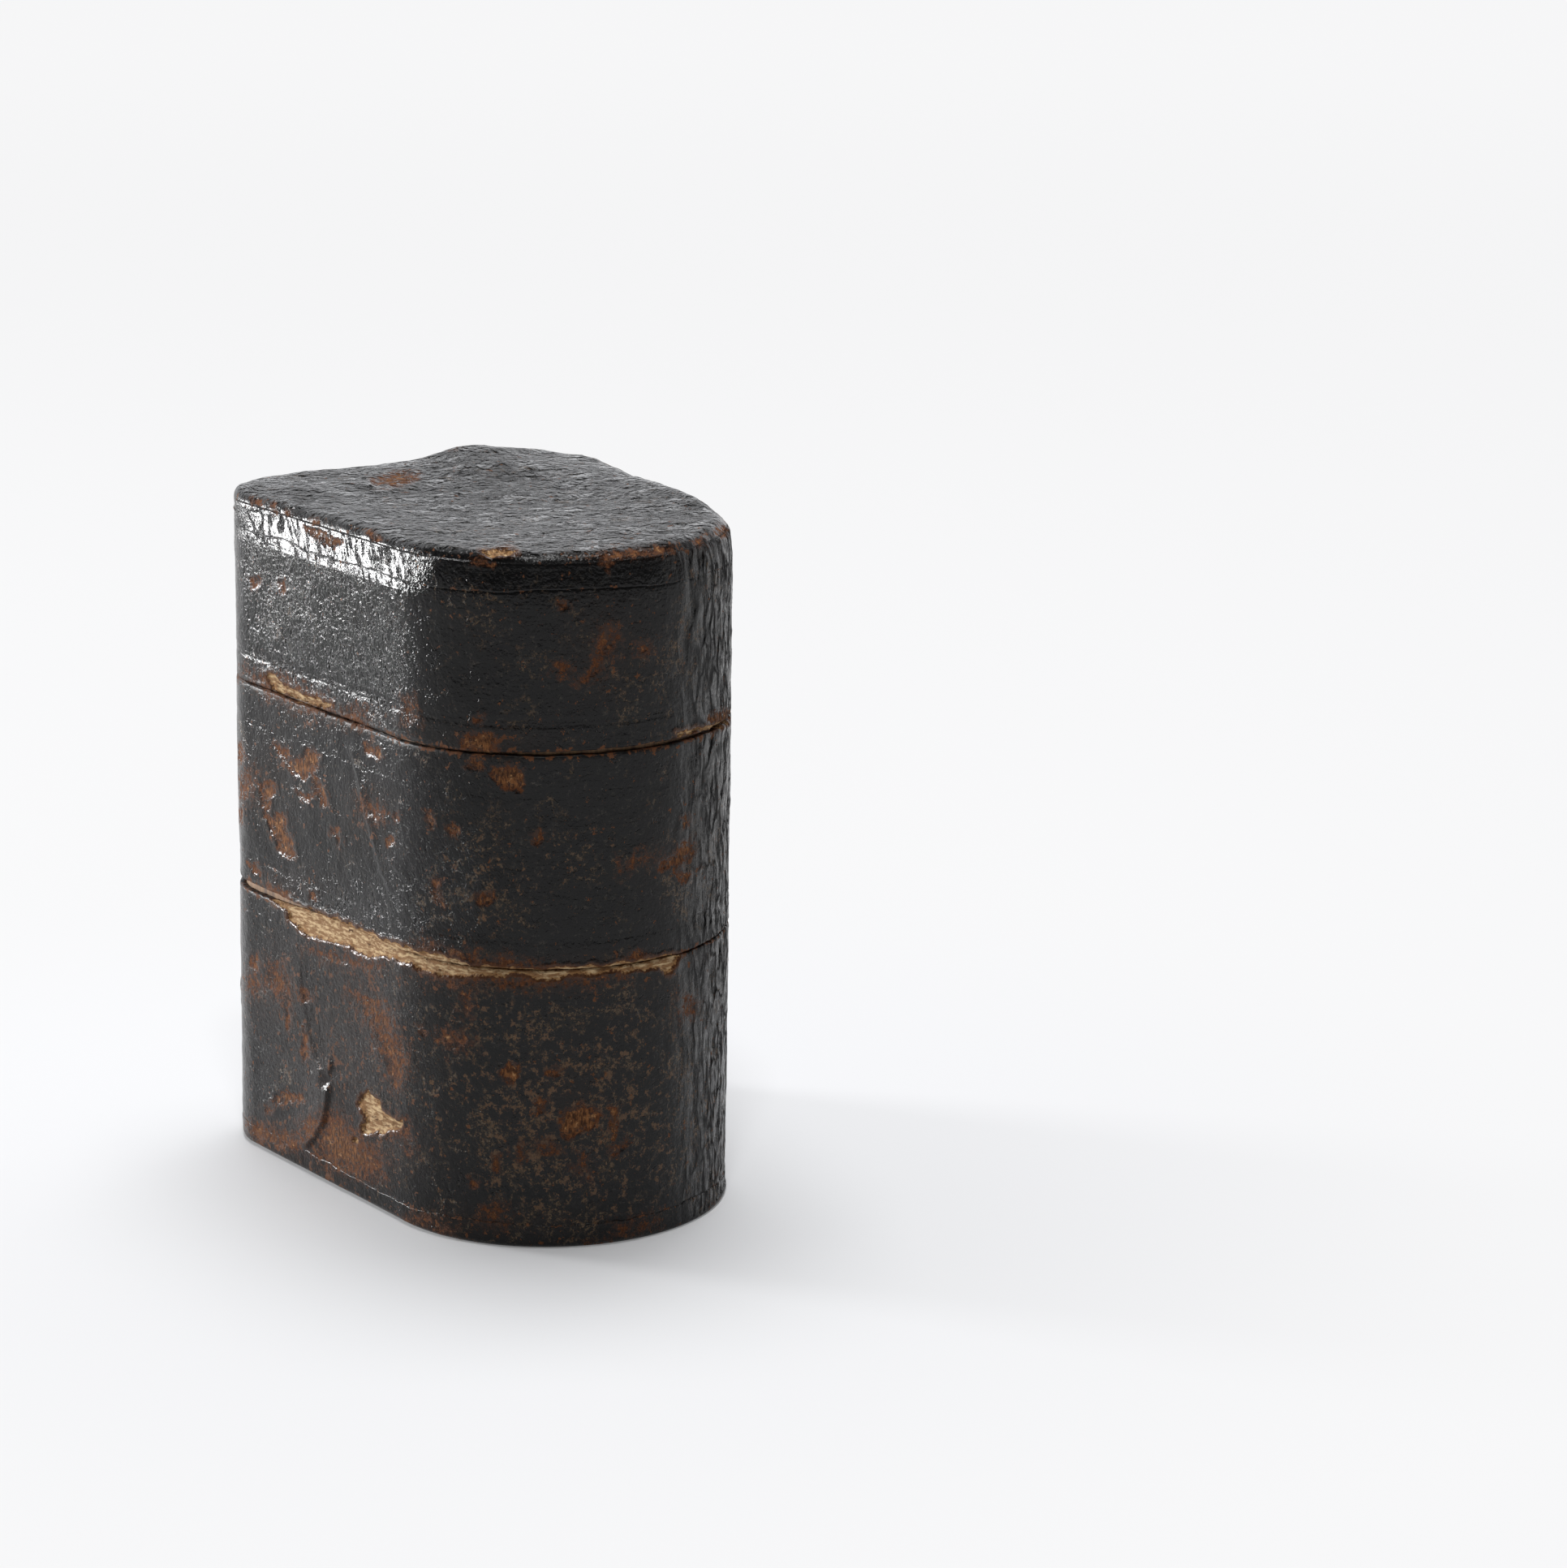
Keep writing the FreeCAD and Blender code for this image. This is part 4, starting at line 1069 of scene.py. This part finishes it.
# The leather: each skin, its body and the node it replaces. Every skin is made before any is dressed.
leather = leather_material()
SKINS = [
    (side_skin("base_leather", BOTTOM_LAP - BOTTOM_OVERLAP, top_of("base_side_leather"), 0.0, 0.2, 101,
               tuck=(BOTTOM_LAP, 211, -1), high_gaps=[(48, 22, -1.1)]), "base", "base_side_leather"),
    (side_skin("middle_leather", bottom_of("middle_side_leather"), top_of("middle_side_leather"),
               0.2, 0.2, 131), "middle", "middle_side_leather"),
    (side_skin("lid_leather", bottom_of("lid_side_leather"), TOP_LAP + TOP_OVERLAP, 0.2, 0.0, 161,
               tuck=(TOP_LAP_EDGE, 191, 1), low_gaps=[(150, 22, 0.6)]), "lid", "lid_side_leather"),
    (turned_skin("top_leather", CASE_TOP, RIM_RADIUS, TOP_LAP_EDGE, True, 191, 84, 18),
     "lid", "lid_top_leather"),
    (turned_skin("bottom_leather", 0.0, FOOT_RADIUS, BOTTOM_LAP, False, 211, 12, 12),
     "base", "base_bottom_leather"),
]
for piece, body, node in SKINS:
    dress(piece, leather, body, node)

# The linings, by body
velvet = velvet_material()
LINING_GRAIN = 0.4
LINING_LUMPS = 0.05
LININGS = {
    "base": ["base_top_velvet", "foot_well_lining", "mirror_well_lining", "pot_well_lining"],
    "middle": ["middle_under_lining", "middle_top_velvet", "barrel_trough_lining", "handle_trough_lining"],
    "lid": ["lid_wall_lining", "lid_top_lining"],
}
for body, nodes in LININGS.items():
    for node in nodes:
        name = node.replace("_lining", "").replace("_velvet", "") + "_cloth"
        dress(softened(node, name, LINING_GRAIN, LINING_LUMPS), velvet, body, node)

# The wood
wood = wood_material("bare_wood", (0.10, 0.050, 0.022), (0.34, 0.19, 0.085), 0.6)
collar_wood = wood_material("collar_wood", (0.022, 0.010, 0.005), (0.095, 0.042, 0.018), 0.45)
WALLS_AND_BLOCKS = ["base_wall", "base_floor", "base_block", "middle_wall", "middle_floor", "middle_block",
                    "lid_wall", "lid_top_board"]
COLLARS = ["base_collar", "middle_collar"]
for nodes, material in ((WALLS_AND_BLOCKS, wood), (COLLARS, collar_wood)):
    for node in nodes:
        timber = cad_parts[node].data
        timber.materials.clear()
        timber.materials.append(material)

# The stage: a pale floor, a room and soft lamps, in metres and watts
FLOOR_HALF = 12.0
MIDDLE_OF_CASE = (0.0, 0.0, 0.07)
# The floor's share of glow far from the case and close to it, and the millimetres over which each changes
FLOOR_GLOW = 0.88
NEAR_GLOW = 0.18
NEAR_FLOOR = (50, 230)
FAR_FLOOR = (300, 2600)
FAR_GAIN = 0.08
# The room's tone: a direction, where it starts and ends to change along it, and the tones there
PALE_BEHIND = ((-0.86, 0.51, 0.0), -0.20, 0.55, 0.10, 1.30)
DARK_ABOVE = ((0.0, 0.0, 1.0), 0.34, 0.70, 1.0, 0.25)
# Each lamp's name, bearing and rise in degrees, distance, width, height and power
LAMPS = [
    ("left_box", 220, 5, 1.2, 0.22, 0.21, 16),
    ("front_box", 333, 63, 1.2, 0.14, 0.12, 4),
    ("top_box", 150, 78, 1.3, 0.6, 0.6, 14),
]


def add_floor():
    mesh = bpy.data.meshes.new("floor")
    corners = [(FLOOR_HALF * x, FLOOR_HALF * y, 0) for x, y in ((-1, -1), (1, -1), (1, 1), (-1, 1))]
    mesh.from_pydata(corners, [], [(0, 1, 2, 3)])
    mesh.materials.append(floor_material())
    add_object("floor", mesh)


def add_lamp(name, bearing, rise, distance, width, height, power):
    """A soft box at a bearing and a rise from the middle of the case, turned to face it."""
    light = bpy.data.lights.new(name, "AREA")
    light.shape = "RECTANGLE"
    light.size = width
    light.size_y = height
    light.energy = power
    level = distance * math.cos(math.radians(rise))
    x = level * math.cos(math.radians(bearing))
    y = level * math.sin(math.radians(bearing))
    lamp = add_object(name, light)
    lamp.location = (x, y, MIDDLE_OF_CASE[2] + distance * math.sin(math.radians(rise)))
    away = Vector(lamp.location) - Vector(MIDDLE_OF_CASE)
    lamp.rotation_euler = away.to_track_quat("Z", "Y").to_euler()


def add_world():
    """A room that is pale behind the case, and darker behind the camera and overhead."""
    world = bpy.data.worlds.new("room")
    bpy.context.scene.world = world
    world.use_nodes = True
    g = Graph(world.node_tree)
    sky = g.tree.nodes["Background"]
    g.put(sky.inputs["Color"], (0.96, 0.97, 1.0))
    ways = g.node("TexCoord").outputs["Generated"]
    tones = []
    for side, low, high, start, stop in (PALE_BEHIND, DARK_ABOVE):
        tones.append(g.step(g.vector("DOT_PRODUCT", ways, side, "Value"), low, high, start, stop))
    g.put(sky.inputs["Strength"], g.times(*tones))


def add_camera():
    camera = add_object("camera", bpy.data.cameras.new("camera"))
    camera.data.sensor_width = SENSOR
    camera.data.lens = FOCAL_PIXELS * SENSOR / max(PHOTO_SIZE)
    camera.data.clip_start = 0.05
    camera.data.clip_end = 60
    camera.matrix_world = Matrix.Translation(Vector(CAMERA_PLACE) * MM) @ CAMERA_TURN.to_4x4()
    bpy.context.scene.camera = camera


add_floor()
add_world()
add_camera()
for lamp in LAMPS:
    add_lamp(*lamp)
bpy.context.scene.view_settings.view_transform = "Standard"
